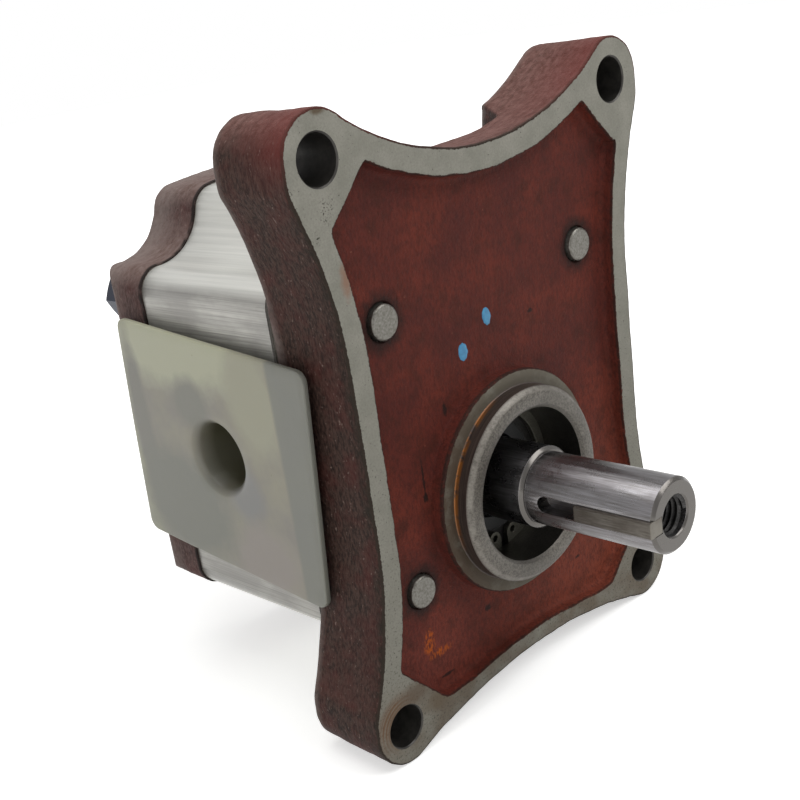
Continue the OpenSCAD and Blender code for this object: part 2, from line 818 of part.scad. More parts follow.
module idler_gear() {
    front_end = joint_front + journal_end_gap;
    rear_end = joint_rear - journal_end_gap;
    color("lightgray") {
        turned(gear_centres) polygon([
            [0, front_end], [journal_d / 2 - edge, front_end], [journal_d / 2, front_end + edge],
            [journal_d / 2, rear_end - edge], [journal_d / 2 - edge, rear_end], [0, rear_end]
        ]);
        translate([0, 0, gear_centres]) gear_body(180 / gear_teeth);
    }
}

// Plate with round corners in Y and Z, lying outside one machined side
module cap_plate(length, height) {
    rotate([0, 90, 0]) linear_extrude(height = cap_plate_t) {
        for (sy = [-1, 1], sz = [-1, 1])
            translate([sz * (height / 2 - cap_corner_r), sy * (length / 2 - cap_corner_r)])
                circle(r = cap_corner_r);
        square([height, length - 2 * cap_corner_r], center = true);
        square([height - 2 * cap_corner_r, length], center = true);
    }
}

// A cap with a hollow plug, drawn for the right side
module port_cap(d, length, height, shift, turn) {
    plug_r = d / 2 - plug_play;
    plate_x = body_half_w + cap_gap;
    plug_x = body_half_w - cap_plug_len;
    inner_r = plug_r - cap_wall;
    translate([0, port_y, mid_z]) difference() {
        union() {
            translate([plate_x, 0, 0]) rotate([turn, 0, 0]) translate([0, shift[0], shift[1]])
                cap_plate(length, height);
            bar_x(plug_r, plug_x, plate_x + eps);
        }
        // Hollow of the plug, with a flared mouth
        bar_x(inner_r, plug_x + cap_wall, plate_x + eps);
        translate([plate_x, 0, 0]) rotate([0, 90, 0]) rotate_extrude() polygon([
            [0, 0], [inner_r, 0], [inner_r + cap_flare, cap_plate_t],
            [inner_r + cap_flare, cap_plate_t + eps], [0, cap_plate_t + eps]
        ]);
    }
}

module left_port_cap() {
    color("beige") mirror([1, 0, 0])
        port_cap(left_port_d, left_cap_len, left_cap_h, [left_cap_shift_y, left_cap_shift_z], left_cap_turn);
}

module right_port_cap() {
    color("beige") port_cap(right_port_d, right_cap_side, right_cap_side, [0, 0], 0);
}

front_flange();
gear_housing();
rear_cover();
through_bolts();
bolt_washers();
dowel_pins();
front_bearing_block();
rear_bearing_block();
drive_front_bush();
drive_rear_bush();
idler_front_bush();
idler_rear_bush();
front_block_seal();
rear_block_seal();
front_backup_ring();
rear_backup_ring();
front_body_seal();
rear_body_seal();
shaft_seal_case();
shaft_seal_lip();
seal_spring();
seal_circlip();
drive_gear_shaft();
shaft_key();
idler_gear();
left_port_cap();
right_port_cap();
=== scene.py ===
# %% [markdown]
# # Hydraulic gear pump with a four-ear cast flange
#
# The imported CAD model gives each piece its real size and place. This scene gives the pieces the shapes and
# surfaces of the photographed pump: rough castings under primer, a milled rim, extruded aluminium, ground
# steel and soft plastic caps. CAD pieces whose shape is already right keep it and get a finish. The castings
# and the caps are soft or rough forms that plain solids can't have, so they are rebuilt here over their CAD
# outlines.

import math

import bmesh
import bpy
import numpy as np
from mathutils import Matrix, Vector, geometry, noise


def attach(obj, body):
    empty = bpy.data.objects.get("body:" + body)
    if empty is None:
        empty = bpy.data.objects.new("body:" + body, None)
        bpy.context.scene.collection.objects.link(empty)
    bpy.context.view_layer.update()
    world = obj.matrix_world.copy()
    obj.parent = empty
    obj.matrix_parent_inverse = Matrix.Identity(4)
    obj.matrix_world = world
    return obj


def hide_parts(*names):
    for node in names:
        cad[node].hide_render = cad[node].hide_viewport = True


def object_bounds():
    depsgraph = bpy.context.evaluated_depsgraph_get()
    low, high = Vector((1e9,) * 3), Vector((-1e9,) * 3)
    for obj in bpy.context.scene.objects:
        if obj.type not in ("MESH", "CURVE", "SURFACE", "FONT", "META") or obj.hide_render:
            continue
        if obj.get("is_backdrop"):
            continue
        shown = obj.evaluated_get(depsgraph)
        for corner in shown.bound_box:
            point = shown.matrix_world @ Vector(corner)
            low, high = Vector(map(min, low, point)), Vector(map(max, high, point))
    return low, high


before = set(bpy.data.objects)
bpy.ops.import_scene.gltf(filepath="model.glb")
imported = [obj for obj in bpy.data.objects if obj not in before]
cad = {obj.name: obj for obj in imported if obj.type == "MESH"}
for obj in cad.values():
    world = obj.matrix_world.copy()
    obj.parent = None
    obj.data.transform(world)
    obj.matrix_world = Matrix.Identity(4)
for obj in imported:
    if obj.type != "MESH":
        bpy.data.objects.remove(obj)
cad_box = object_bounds()
MM = 0.001


def new_object(name, data):
    made = bpy.data.objects.new(name, data)
    bpy.context.scene.collection.objects.link(made)
    return made


print(len(cad), "CAD nodes in a box of", [round(v / MM, 1) for v in cad_box[1] - cad_box[0]], "mm")

# %% [markdown]
# ## Camera
#
# The camera stands where the photographer stood. Its place was worked out from the flange's ear holes, the
# spigot and the shaft, whose real places are known. Azimuth and elevation say from where it looks, and the
# roll is there because the real pump leaned back on its lower ears while the model keeps its shaft level. The
# picture was cropped after it was taken, so its centre isn't where the lens pointed, and the camera's shift
# puts that back.

# %% Camera at the photograph's viewing angle
azimuth, elevation, roll = (math.radians(a) for a in (-40.207, 22.097, -9.305))
focal_px, image_px, lens_centre_px = 1222.0, 800, (352.1, 488.7)
away_mm, aside_mm, below_mm = 371.254, 50.687, 2.383
backward = Vector((math.sin(azimuth) * math.cos(elevation), -math.cos(azimuth) * math.cos(elevation),
                   math.sin(elevation)))
level = Vector((math.cos(azimuth), math.sin(azimuth), 0))
upright = backward.cross(level)
rightward = level * math.cos(roll) + upright * math.sin(roll)
upward = upright * math.cos(roll) - level * math.sin(roll)

camera = new_object("camera", bpy.data.cameras.new("camera"))
camera.data.sensor_width = 36
camera.data.lens = focal_px / image_px * camera.data.sensor_width
camera.data.shift_x = (image_px / 2 - lens_centre_px[0]) / image_px
camera.data.shift_y = (lens_centre_px[1] - image_px / 2) / image_px
camera.data.clip_start = 0.01
camera.matrix_world = Matrix((rightward, upward, backward)).transposed().to_4x4()
camera.location = (backward * away_mm - rightward * aside_mm - upward * below_mm) * MM
bpy.context.scene.camera = camera
print("camera at", [round(v / MM, 1) for v in camera.location], "mm, lens", round(camera.data.lens, 2), "mm")

# %% [markdown]
# ## Colours and shader nodes
#
# Colours are written as sRGB hex values, the way a paint program shows them, and shaders want linear light,
# so one function converts them. One more function adds a shader node with its settings and links.

# %% Colour and node helpers
def colour(hex_value):
    parts = [int(hex_value[i:i + 2], 16) / 255 for i in (0, 2, 4)]
    return [p / 12.92 if p <= 0.04045 else ((p + 0.055) / 1.055) ** 2.4 for p in parts] + [1.0]


def add(tree, kind, inputs=None, **settings):
    """Adds a shader node, sets its options, and fills or links its inputs by name or number."""
    node = tree.nodes.new("ShaderNode" + kind)
    for name, value in settings.items():
        setattr(node, name, value)
    for name, value in (inputs or {}).items():
        if isinstance(value, bpy.types.Node):
            value = value.outputs[0]
        if isinstance(value, bpy.types.NodeSocket):
            tree.links.new(value, node.inputs[name])
        else:
            node.inputs[name].default_value = value
    return node


def new_material(name, **values):
    """A material with one physical shader. Values that are the same all over go on its sockets."""
    material = bpy.data.materials.new(name)
    material.use_nodes = True
    tree = material.node_tree
    tree.nodes.clear()
    shader = add(tree, "BsdfPrincipled", {key.replace("_", " "): value for key, value in values.items()})
    add(tree, "OutputMaterial", {"Surface": shader.outputs[0]})
    return material, tree, shader


print("primer red as linear light:", [round(v, 3) for v in colour("7d342c")])

# %% [markdown]
# A pattern on a real surface has a size: a pit, a scratch, a turning groove. These helpers take it in
# millimetres, and most of them give a share from 0 to 1. `zone` is a share that changes from one place to
# another, `band` picks the light or dark grains out of noise of a real size, and `product` is where all of
# several shares hold. `coat` lays one colour over another as far as such shares say, like a coat of paint, and
# `coats` lays several. `surface` gives a material its colours and its bumps.

# %% Pattern helpers
def along(tree, axis):
    """The place of a surface point along X, Y or Z, in mm."""
    place = add(tree, "SeparateXYZ", {0: add(tree, "TexCoord").outputs["Object"]})
    return add(tree, "Math", {0: place.outputs[axis], 1: 1 / MM}, operation="MULTIPLY").outputs[0]


def radius(tree, centre=(0, 0, 0), axis=1):
    """How far a surface point lies from a line along X (0), Y (1) or Z (2) through a centre in mm."""
    place = add(tree, "TexCoord").outputs["Object"]
    spot = add(tree, "VectorMath", {0: place, 1: [c * MM for c in centre]}, operation="SUBTRACT")
    flat = add(tree, "VectorMath", {0: spot, 1: [float(k != axis) for k in range(3)]}, operation="MULTIPLY")
    return product(tree, add(tree, "VectorMath", {0: flat}, operation="LENGTH").outputs["Value"], 1 / MM)


def grains(tree, size, detail=3.0, stretch=(1, 1, 1), shift=0.0):
    """Noise whose grains have a size in mm. A stretch makes them into streaks."""
    place = add(tree, "TexCoord").outputs["Object"]
    scale = [1 / (MM * size * s) for s in stretch]
    scaled = add(tree, "Mapping", {"Vector": place, "Location": [shift] * 3, "Scale": scale})
    noisy = add(tree, "TexNoise", {"Vector": scaled, "Scale": 1.0, "Detail": detail, "Roughness": 0.6})
    return noisy.outputs["Fac"]


def zone(tree, where, start, full, low=0.0, high=1.0):
    """A share between two places on an axis in mm, or between two values of any other pattern."""
    measure = along(tree, where) if isinstance(where, str) else where
    return add(tree, "MapRange", {0: measure, 1: start, 2: full, 3: low, 4: high}).outputs[0]


def band(tree, size, start, full, detail=3.0, low=0.0, high=1.0, **how):
    """A share that rises between two values of noise with grains of a size in mm."""
    return zone(tree, grains(tree, size, detail, **how), start, full, low, high)


def product(tree, *shares):
    """The product of shares, for a mark that needs several things at once."""
    whole = shares[0]
    for share in shares[1:]:
        whole = add(tree, "Math", {0: whole, 1: share}, operation="MULTIPLY").outputs[0]
    return whole


def coat(tree, under, over, *shares):
    """One colour over another. Each is a hex value or comes from other nodes."""
    under, over = (colour(c) if isinstance(c, str) else c for c in (under, over))
    mix = add(tree, "Mix", {0: product(tree, *shares), 6: under, 7: over}, data_type="RGBA")
    return mix.outputs[2]


def coats(tree, under, *layers):
    """Coats over a base, one after another. Each is a colour and its shares."""
    for over, *shares in layers:
        under = coat(tree, under, over, *shares)
    return under


def surface(tree, shader, tone, height, depth):
    """Gives a material its colour and its bumps. Depth is how deep the height pattern goes, in mm."""
    bumps = add(tree, "Bump", {"Height": height, "Distance": depth * MM, "Strength": 1.0})
    tree.links.new(tone, shader.inputs["Base Color"])
    tree.links.new(bumps.outputs[0], shader.inputs["Normal"])


print("a grain of 0.5 mm is", 0.5 * MM, "in Blender's metres")

# %% [markdown]
# ## Floor, background and light
#
# The photograph is a studio picture on white. The floor is pale and keeps the pump's shadow, and the world
# shows plain white to the camera and to shiny metal, while it lights the pump more gently. One large soft
# lamp hangs above and to the right, as the highlights on the shaft show, and a weak one fills the left.
# The floor fades into the white of the world with distance, so that no horizon shows.

# %% World
world = bpy.data.worlds.new("studio")
bpy.context.scene.world = world
world.use_nodes = True
tree = world.node_tree
tree.nodes.clear()
rays = add(tree, "LightPath").outputs
seen = add(tree, "Math", {0: rays["Is Camera Ray"], 1: rays["Is Transmission Ray"]}, operation="MAXIMUM")
light, glossy, white = (add(tree, "Background", {"Color": colour("ffffff"), "Strength": strength})
                        for strength in (0.42, 0.75, 1.0))
mixed = add(tree, "MixShader", {0: rays["Is Glossy Ray"], 1: light, 2: glossy})
mixed = add(tree, "MixShader", {0: seen, 1: mixed, 2: white})
add(tree, "OutputWorld", {"Surface": mixed})
bpy.context.scene.view_settings.view_transform = "Standard"
print("world lights at", light.inputs["Strength"].default_value)

# %% Lamps
def softbox(name, place, target, width, height, power):
    lamp = new_object(name, bpy.data.lights.new(name, "AREA"))
    lamp.data.shape, lamp.data.size, lamp.data.size_y, lamp.data.energy = "RECTANGLE", width, height, power
    lamp.location = place
    lamp.rotation_euler = (Vector(target) - Vector(place)).to_track_quat("-Z", "Y").to_euler()


softbox("key", (0.35, -0.55, 0.75), (0, 0, 0.02), 0.7, 0.5, 4.6)
softbox("overhead", (-0.15, 0.05, 0.85), (0, 0.03, 0.02), 0.6, 0.6, 2.6)
softbox("fill", (-0.75, -0.35, 0.2), (0, 0.03, 0.02), 0.5, 0.7, 1.6)

# %% Floor
floor_mesh = bpy.data.meshes.new("floor")
reach, rest_z = 3.0, cad_box[0].z
corners = [(x * reach, y * reach, rest_z) for x, y in ((-1, -1), (1, -1), (1, 1), (-1, 1))]
floor_mesh.from_pydata(corners, [], [(0, 1, 2, 3)])
floor = new_object("floor", floor_mesh)
paper, tree, shader = new_material("Backdrop paper, pale and matt", Base_Color=colour("f2f2f0"), Roughness=0.9)
rays = add(tree, "LightPath").outputs
place = add(tree, "TexCoord").outputs["Object"]
distance = add(tree, "VectorMath", {0: place}, operation="LENGTH").outputs["Value"]
glow = add(tree, "Emission", {"Color": colour("ffffff"), "Strength": zone(tree, distance, 0.2, 0.75, 0.5, 1.0)})
shiny = add(tree, "Math", {0: rays["Is Glossy Ray"], 1: rays["Is Transmission Ray"]}, operation="MAXIMUM")
seen = add(tree, "Math", {0: rays["Is Camera Ray"], 1: shiny}, operation="MAXIMUM")
both = add(tree, "AddShader", {0: shader, 1: add(tree, "MixShader", {0: seen, 2: glow})})
tree.links.new(both.outputs[0], next(n for n in tree.nodes if n.type == "OUTPUT_MATERIAL").inputs["Surface"])
floor_mesh.materials.append(paper)
floor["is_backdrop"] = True
print("floor at", round(rest_z / MM, 1), "mm")

# %% [markdown]
# ## Reading outlines from the CAD model
#
# A sand casting has the outline of its CAD solid, with rounded edges, a little draft and a wavy skin. So the
# outline is read from the flat faces of the CAD node, spread into evenly spaced points, and used as the rail
# along which the rough wall is built. A face's edge that no neighbour in the same plane shares is part of
# an outline, and such edges join up into closed loops.

# %% Outlines from a plane
def outlines(node, y, towards):
    """Closed outlines, in X and Z mm, of a CAD node's flat faces at one place along Y, the longest first."""
    work = bmesh.new()
    work.from_mesh(cad[node].data)
    bmesh.ops.remove_doubles(work, verts=work.verts, dist=2e-6)
    flat = {f for f in work.faces
            if abs(f.calc_center_median().y / MM - y) < 0.02 and f.normal.y * towards > 0.9}
    follow = {}
    for face in sorted(flat, key=lambda f: f.index):
        for corner in face.loops:
            if sum(other in flat for other in corner.edge.link_faces) == 1:
                follow.setdefault(corner.vert, []).append(corner.link_loop_next.vert)
    found = []
    while follow:
        start = next(iter(follow))
        spot, loop = start, []
        while spot in follow:
            loop.append((spot.co.x / MM, spot.co.z / MM))
            ends = follow[spot]
            after = ends.pop()
            if not ends:
                del follow[spot]
            spot = after
            if spot is start:
                break
        found.append(without_spikes(np.array(loop)))
    work.free()
    turned = [loop if area(loop) > 0 else loop[::-1] for loop in found if len(loop) > 2 and abs(area(loop)) > 1]
    return sorted(turned, key=length, reverse=True)


def without_spikes(loop):
    """The outline without points at which it runs back over itself."""
    while len(loop) > 2:
        before, after = loop - np.roll(loop, 1, 0), np.roll(loop, -1, 0) - loop
        cross = before[:, 0] * after[:, 1] - before[:, 1] * after[:, 0]
        turned_back = ((before * after).sum(1) <= 0) & (np.abs(cross) < 1e-3)
        if not turned_back.any():
            break
        loop = np.delete(loop, np.flatnonzero(turned_back)[0], 0)
    return loop


def area(loop):
    x, z = loop.T
    return (x * np.roll(z, -1) - np.roll(x, -1) * z).sum() / 2


def length(loop):
    return np.linalg.norm(np.roll(loop, -1, 0) - loop, axis=1).sum()


def spread(loop, count):
    """The same outline with evenly spaced points."""
    closed = np.vstack([loop, loop[:1]])
    walked = np.concatenate([[0], np.cumsum(np.linalg.norm(np.diff(closed, axis=0), axis=1))])
    at = np.linspace(0, walked[-1], count, endpoint=False)
    return np.stack([np.interp(at, walked, closed[:, k]) for k in (0, 1)], 1)


def outward(loop, reach=2):
    """The outward direction at each point of an outline."""
    run = np.roll(loop, -reach, 0) - np.roll(loop, reach, 0)
    side = np.stack([run[:, 1], -run[:, 0]], 1)
    return side / np.linalg.norm(side, axis=1)[:, None]


def circle(x, z, r, count=96):
    turn = np.arange(count) * 2 * math.pi / count
    return np.stack([x + r * np.cos(turn), z + r * np.sin(turn)], 1)


flange_rim = outlines("front_flange", 0, -1)
print("rim outlines, mm round:", [round(length(l), 1) for l in flange_rim])

# %% [markdown]
# ## Building shells
#
# A `Shell` gathers points and faces in millimetres. `rings` stitches closed rings of points into a wall, and
# `sheet` fills the flat between rings with small triangles, so that a skin can be wavy inside too. Each
# point carries a share of paint from 0 to 1, which the finish later breaks up into a ragged paint edge.

# %% Shell builder
def inside(spots, loops):
    """Whether each spot lies inside the loops, where loops within loops are holes."""
    hit = np.zeros(len(spots), bool)
    for loop in loops:
        (x0, z0), (x1, z1) = loop.T, np.roll(loop, -1, 0).T
        for a, b, c, d in zip(x0, z0, x1, z1):
            if b != d:
                crosses = (b > spots[:, 1]) != (d > spots[:, 1])
                hit ^= crosses & (spots[:, 0] < a + (spots[:, 1] - b) / (d - b) * (c - a))
    return hit


def filled(borders, grid, spacing):
    """Small triangles between closed flat borders.

    Gives the points, the triangles, and each point's place on the borders or -1."""
    rim = np.vstack(borders)
    grid = grid[inside(grid, borders)]
    near = np.array([((rim - spot) ** 2).sum(1).min() for spot in grid]) if len(grid) else np.zeros(0)
    grid = grid[near > (0.55 * spacing) ** 2]
    edges, start = [], 0
    for border in borders:
        edges += [(start + i, start + (i + 1) % len(border)) for i in range(len(border))]
        start += len(border)
    made = geometry.delaunay_2d_cdt([Vector(s) for s in np.vstack([rim, grid])], edges, [], 0, 1e-5)
    spots, triangles = np.array(made[0]), np.array(made[2])
    first, second = (spots[triangles[:, k]] - spots[triangles[:, 0]] for k in (1, 2))
    sliver = np.abs(first[:, 0] * second[:, 1] - first[:, 1] * second[:, 0]) < 4e-3
    kept = triangles[inside(spots[triangles].mean(1), borders) & ~sliver]
    return spots, kept, [next((i for i in source if i < len(rim)), -1) for source in made[3]]


class Shell:
    def __init__(self):
        self.points, self.paint, self.faces, self.finish = [], [], [], []

    def rings(self, rings, finish=0, paint=0.0):
        """A wall through rings of equally many points. Paint is one share, or one for each ring."""
        start, count = len(self.points), len(rings[0])
        shares = [paint] * len(rings) if isinstance(paint, (int, float)) else paint
        for ring, share in zip(rings, shares):
            self.points.extend(map(tuple, ring))
            self.paint.extend([share] * count)
        for row in range(len(rings) - 1):
            for i in range(count):
                j, low = (i + 1) % count, start + row * count
                self.faces.append((low + i, low + j, low + count + j, low + count + i))
        self.finish.extend([finish] * (len(rings) - 1) * count)

    def sheet(self, borders, height, spacing, finish=0, paint=0.0, more=()):
        """A sheet of small triangles between closed borders. Height gives Y for the points inside."""
        flat = [border[:, [0, 2]] for border in borders]
        low, high = np.vstack(flat).min(0), np.vstack(flat).max(0)
        xs, zs = np.meshgrid(np.arange(low[0], high[0], spacing), np.arange(low[1], high[1], spacing * 0.866))
        xs[1::2] += spacing / 2
        grid = np.vstack([np.stack([xs.ravel(), zs.ravel()], 1), *more])
        spots, kept, on_border = filled(flat, grid, spacing)
        known = np.concatenate([border[:, 1] for border in borders])
        points = [(x, known[at] if at >= 0 else height(x, z), z) for (x, z), at in zip(spots, on_border)]
        self.take(points, kept, finish, paint)

    def take(self, points, faces, finish=0, paint=0.0):
        """Adds points, and faces that count from the first of them."""
        first = len(self.points)
        self.points.extend(map(tuple, points))
        self.paint.extend([paint] * len(points))
        self.faces.extend(tuple(first + i for i in face) for face in faces)
        self.finish.extend([finish] * len(faces))

    def turned(self, x, z, profile, finish=0, paint=0.0, count=96):
        """A turned surface about a line along Y. The profile lists radius and place along Y."""
        self.rings([lift(circle(x, z, r, count), y) for r, y in profile], finish, paint)

    def piece(self, name, body, materials, sharp=35):
        mesh = bpy.data.meshes.new(name)
        mesh.from_pydata([(x * MM, y * MM, z * MM) for x, y, z in self.points], [], self.faces)
        mesh.attributes.new("paint", "FLOAT", "POINT").data.foreach_set("value", self.paint)
        mesh.polygons.foreach_set("material_index", self.finish)
        work = bmesh.new()
        work.from_mesh(mesh)
        bmesh.ops.remove_doubles(work, verts=work.verts, dist=2e-6)
        bmesh.ops.recalc_face_normals(work, faces=work.faces)
        work.to_mesh(mesh)
        work.free()
        mesh.shade_smooth()
        mesh.set_sharp_from_angle(angle=math.radians(sharp))
        for material in materials:
            mesh.materials.append(material)
        made = new_object(name, mesh)
        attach(made, body)
        print(name, len(mesh.vertices), "points,", len(mesh.polygons), "faces")
        return made


def lift(loop, y):
    """An outline in X and Z as points in space, at one Y or at one Y for each point."""
    return np.stack([loop[:, 0], np.broadcast_to(y, len(loop)), loop[:, 1]], 1)

# %% [markdown]
# ## The skin of a sand casting
#
# Molten iron copies the sand of its mould, so the skin has broad dents from the ramming and fine grain from
# the sand. Both are noise of a real size. The dents only ever go inwards, so the casting never outgrows its
# CAD solid.

# %% Cast skin
def dent(points, depth):
    """How far the skin lies below its drawn face, in mm, for points in space."""
    seen = np.empty(len(points))
    for i, (x, y, z) in enumerate(points):
        broad = noise.noise(Vector((x / 13, y / 11, z / 13)))
        fine = noise.noise(Vector((x / 3.1 + 40, y / 3.1, z / 3.1)))
        seen[i] = 0.5 + 0.55 * broad + 0.3 * fine
    return depth * np.clip(seen, 0, 1)


def cast_wall(loop, front, start, back, fillet, draft, depth, steps=18):
    """Rings of a cast wall: the given front edge, the drafted wall, and a rounded rear edge."""
    away = outward(loop)
    base = front[-1][0]
    rows = [(inset, np.full(len(loop), float(y))) for inset, y in front]
    for share in np.linspace(0, 1, steps + 1)[1:]:
        rows.append((base + draft * share, start + (back - fillet - start) * share))
    for turn in np.linspace(0, math.pi / 2, 6)[1:]:
        rows.append((base + draft + fillet * (1 - math.cos(turn)), back - fillet * (1 - math.sin(turn))))
    rings = []
    for inset, y in rows:
        ring = lift(loop, y)
        inwards = inset + dent(ring, depth)
        rings.append(lift(loop - away * inwards[:, None], y))
    return rings


def mouths(places, r, y):
    """The ring of points round each hole."""
    return [lift(circle(x, z, r), y) for x, z in places]


print("deepest dent for a 0.5 mm skin:", round(float(dent(lift(circle(0, 20, 60), 10.0), 0.5).max()), 2), "mm")

# %% [markdown]
# ## Front flange
#
# The flange is grey cast iron. Its rim and spigot were machined bare after painting, and the floor inside
# the rim stayed rough and red. The outline comes from the CAD node, with one correction: between the upper
# ears the CAD outline runs straight across, and the real casting dips there in one wide arc. Behind that
# upper web the casting is thinner, with sloped ends, which `rear_of_flange` describes as a height for each
# place. The rear edge is rounded as far as the room beside the housing's seat and above the web's step allows.

# %% Flange: outer wall and rear
middle_z = 21.5
ears = [(sx * 60, z) for sx in (-1, 1) for z in (-54.55, 107.95)]
bolts = [(sx * 42.8, middle_z + sz * 40.55) for sx in (-1, 1) for sz in (-1, 1)]
flange_back, web_back, seat_y = 29.0, 17.5, 30.5
dip_x, dip_z, dip_r = 0.9, 189.95, 88.85
web_half_x, web_slope, step_z, step_rise = 33, 6.9, 97.3, 0.9
ear_hole_r, ear_mouth_r = 6.5, 6.9


def with_dip(loop):
    """The rim's outline with the real arc between the upper ears."""
    at = next(i for i, (x, z) in enumerate(loop) if z > 90 and x > 0 > loop[(i + 1) % len(loop)][0])
    ends = [math.atan2(z - dip_z, x - dip_x) for x, z in (loop[at], loop[(at + 1) % len(loop)])]
    arc = [(dip_x + dip_r * math.cos(a), dip_z + dip_r * math.sin(a)) for a in np.linspace(*ends, 26)[1:-1]]
    return np.insert(loop, at + 1, arc, 0)


def rear_of_flange(x, z):
    """Y of the flange's rear at a place: the thin web behind the dip, with its sloped ends and step."""
    down = np.clip((web_half_x - abs(x)) / web_slope, 0, 1) * np.clip((z - step_z) / step_rise, 0, 1)
    return flange_back - (flange_back - web_back) * down


flange = Shell()
outer = spread(with_dip(flange_rim[0]), 720)
back = rear_of_flange(outer[:, 0], outer[:, 1])
seat_outline = spread(outlines("front_flange", seat_y, 1)[0], 480)
room = np.array([np.linalg.norm(seat_outline - spot, axis=1).min() for spot in outer])
over_web = (abs(outer[:, 0]) < web_half_x + 3) & (outer[:, 1] > 97)
room = np.where(over_web, np.minimum(room, outer[:, 1] - (step_z + 2)), room)
fillet, draft = np.clip(room - 1.0, 0.1, 2.4), np.clip(room / 5, 0, 0.5)
outer_wall = cast_wall(outer, [(0.5, 0), (0.14, 0.14), (0, 0.5)], 0.5, back, fillet, draft, 0.5)
flange.rings(outer_wall, 0, [0.55, 0.85, 1.0] + [1.0] * (len(outer_wall) - 3))

seat_low, seat_top = lift(seat_outline, flange_back), lift(seat_outline, seat_y)
flange.rings([seat_low, seat_top], 2, 0.0)
step_lines = [np.stack([np.linspace(-34, 34, 86), np.full(86, z)], 1) for z in (step_z, step_z + step_rise)]
flange.sheet([outer_wall[-1], seat_low, *mouths(ears, ear_mouth_r, flange_back)], rear_of_flange, 2.2, 0, 1.0,
             more=step_lines)
print("flange outline", round(length(outer), 1), "mm round")

# %% [markdown]
# The rim is one flat milled face between the outer edge and the recess. Just inside both edges it gets a
# row of points without paint, so that the paint share falls from 1 to 0 over less than a millimetre there.

# %% Flange: milled rim and recess wall
inner = spread(flange_rim[1], 560)
for _ in range(2):
    inner = (np.roll(inner, 1, 0) + 2 * inner + np.roll(inner, -1, 0)) / 4
away = outward(inner)
wander = dent(lift(inner, 0.0), 0.7)[:, None] - 0.35
inner = inner + away * wander
recess = []
for inset, y in [(-0.9, 0), (0, 0), (0.22, 0.12), (0.34, 0.4), (0.5, 1.4), (0.62, 2.4)]:
    recess.append(lift(inner - away * inset, y))
wall_inset, wall_end_y, floor_fillet = 0.62, 2.4, 1.9
for turn in np.linspace(0, math.pi / 2, 5)[1:]:
    inset = wall_inset + floor_fillet * (1 - math.cos(turn))
    recess.append(lift(inner - away * inset, wall_end_y + floor_fillet * math.sin(turn)))
flange.rings(recess, 1, [0.0, 0.5, 0.8] + [1.0] * (len(recess) - 3))

bare = outward(outer)
rim_edge = outer_wall[0]
rim_inset = rim_edge.copy()
rim_inset[:, [0, 2]] -= bare * 0.8
flange.rings([rim_edge, rim_inset], 0, [0.55, 0.0])
flange.sheet([rim_inset, recess[0], *mouths(ears, ear_mouth_r, 0.0)], lambda x, z: 0.0, 2.0, 0, 0.0)
ear_hole = [(ear_mouth_r, 0), (ear_hole_r, 0.4), (ear_hole_r, 28.6), (ear_mouth_r, flange_back)]
for x, z in ears:
    flange.turned(x, z, ear_hole, 3, 0.0)
print("recess outline", round(length(inner), 1), "mm round")

# %% [markdown]
# The floor is as rough as the outer skin. It runs up a small fillet to the recess wall and to the foot of
# the spigot, and has a hole for each through bolt.

# %% Flange: rough floor
floor_y, foot_y, spigot_y = 4.3, -0.9, -6.8
foot_r, spigot_r, bore_r = 34.5, 30.0, 23.5
bolt_hole_r, bolt_mouth_r = 5.12, 5.8


def floor_height(x, z):
    wave = noise.noise(Vector((x / 16, z / 16, 3))) * 0.16 + noise.noise(Vector((x / 4, z / 4, 9))) * 0.07
    return floor_y + wave


foot_ring = lift(circle(0, 0, foot_r + 1.0, 160), floor_y)
flange.sheet([recess[-1], foot_ring, *mouths(bolts, bolt_mouth_r, floor_y)], floor_height, 1.7, 1, 1.0)
for x, z in bolts:
    flange.turned(x, z, [(bolt_mouth_r, floor_y), (5.45, floor_y + 0.3), (bolt_hole_r, floor_y + 1)], 1, 1.0)
    flange.turned(x, z, [(bolt_hole_r, floor_y + 1), (bolt_hole_r, seat_y)], 3, 0.0)
print("floor near Y", floor_y, "mm, and at", round(floor_height(20, 60), 2), "mm at X 20, Z 60")

# %% [markdown]
# The spigot centres the pump in its mounting. It was turned in one setting with the rim, and the fine
# grooves of the cutting tool still show. Its profile goes from the cast foot over the turned outside and the
# annular face into the seal bore, with the groove that holds the retaining ring.

# %% Flange: foot, spigot and seal bore
passage_r, groove_r, groove_front, groove_back, seal_back = 13.1, 24.7, 8.4, 10.25, 17.35
foot = [(foot_r + 1.0, floor_y), (foot_r + 0.3, floor_y - 0.3), (foot_r, floor_y - 1), (foot_r, 0.1),
        (foot_r - 0.3, -0.5), (foot_r - 0.9, foot_y)]
flange.turned(0, 0, foot, 1, [1.0, 1.0, 1.0, 0.9, 0.6, 0.0], 160)
foot_face = [(foot_r - 0.9, foot_y), (31.8, foot_y), (spigot_r + 0.25, foot_y)]
flange.turned(0, 0, foot_face, 1, [0.1, 0.0, 0.0], 160)
spigot = [(spigot_r + 0.25, foot_y), (spigot_r, foot_y - 0.25), (spigot_r, -5.3), (28.6, -6.7),
          (28.4, spigot_y), (24.6, spigot_y), (24.4, -6.7), (bore_r, -5.8)]
flange.turned(0, 0, spigot, 2, 0.0, 160)
seal_bore = [(bore_r, -5.8), (bore_r, groove_front), (groove_r, groove_front), (groove_r, groove_back),
             (bore_r, groove_back), (bore_r, seal_back), (passage_r, seal_back), (passage_r, seat_y)]
flange.turned(0, 0, seal_bore, 4, 0.0, 160)
passage = lift(circle(0, 0, passage_r, 160), seat_y)
flange.sheet([seat_top, passage, *mouths(bolts, bolt_hole_r, seat_y)], lambda x, z: seat_y, 6.0, 2, 0.0)
print("flange shell has", len(flange.points), "points so far")

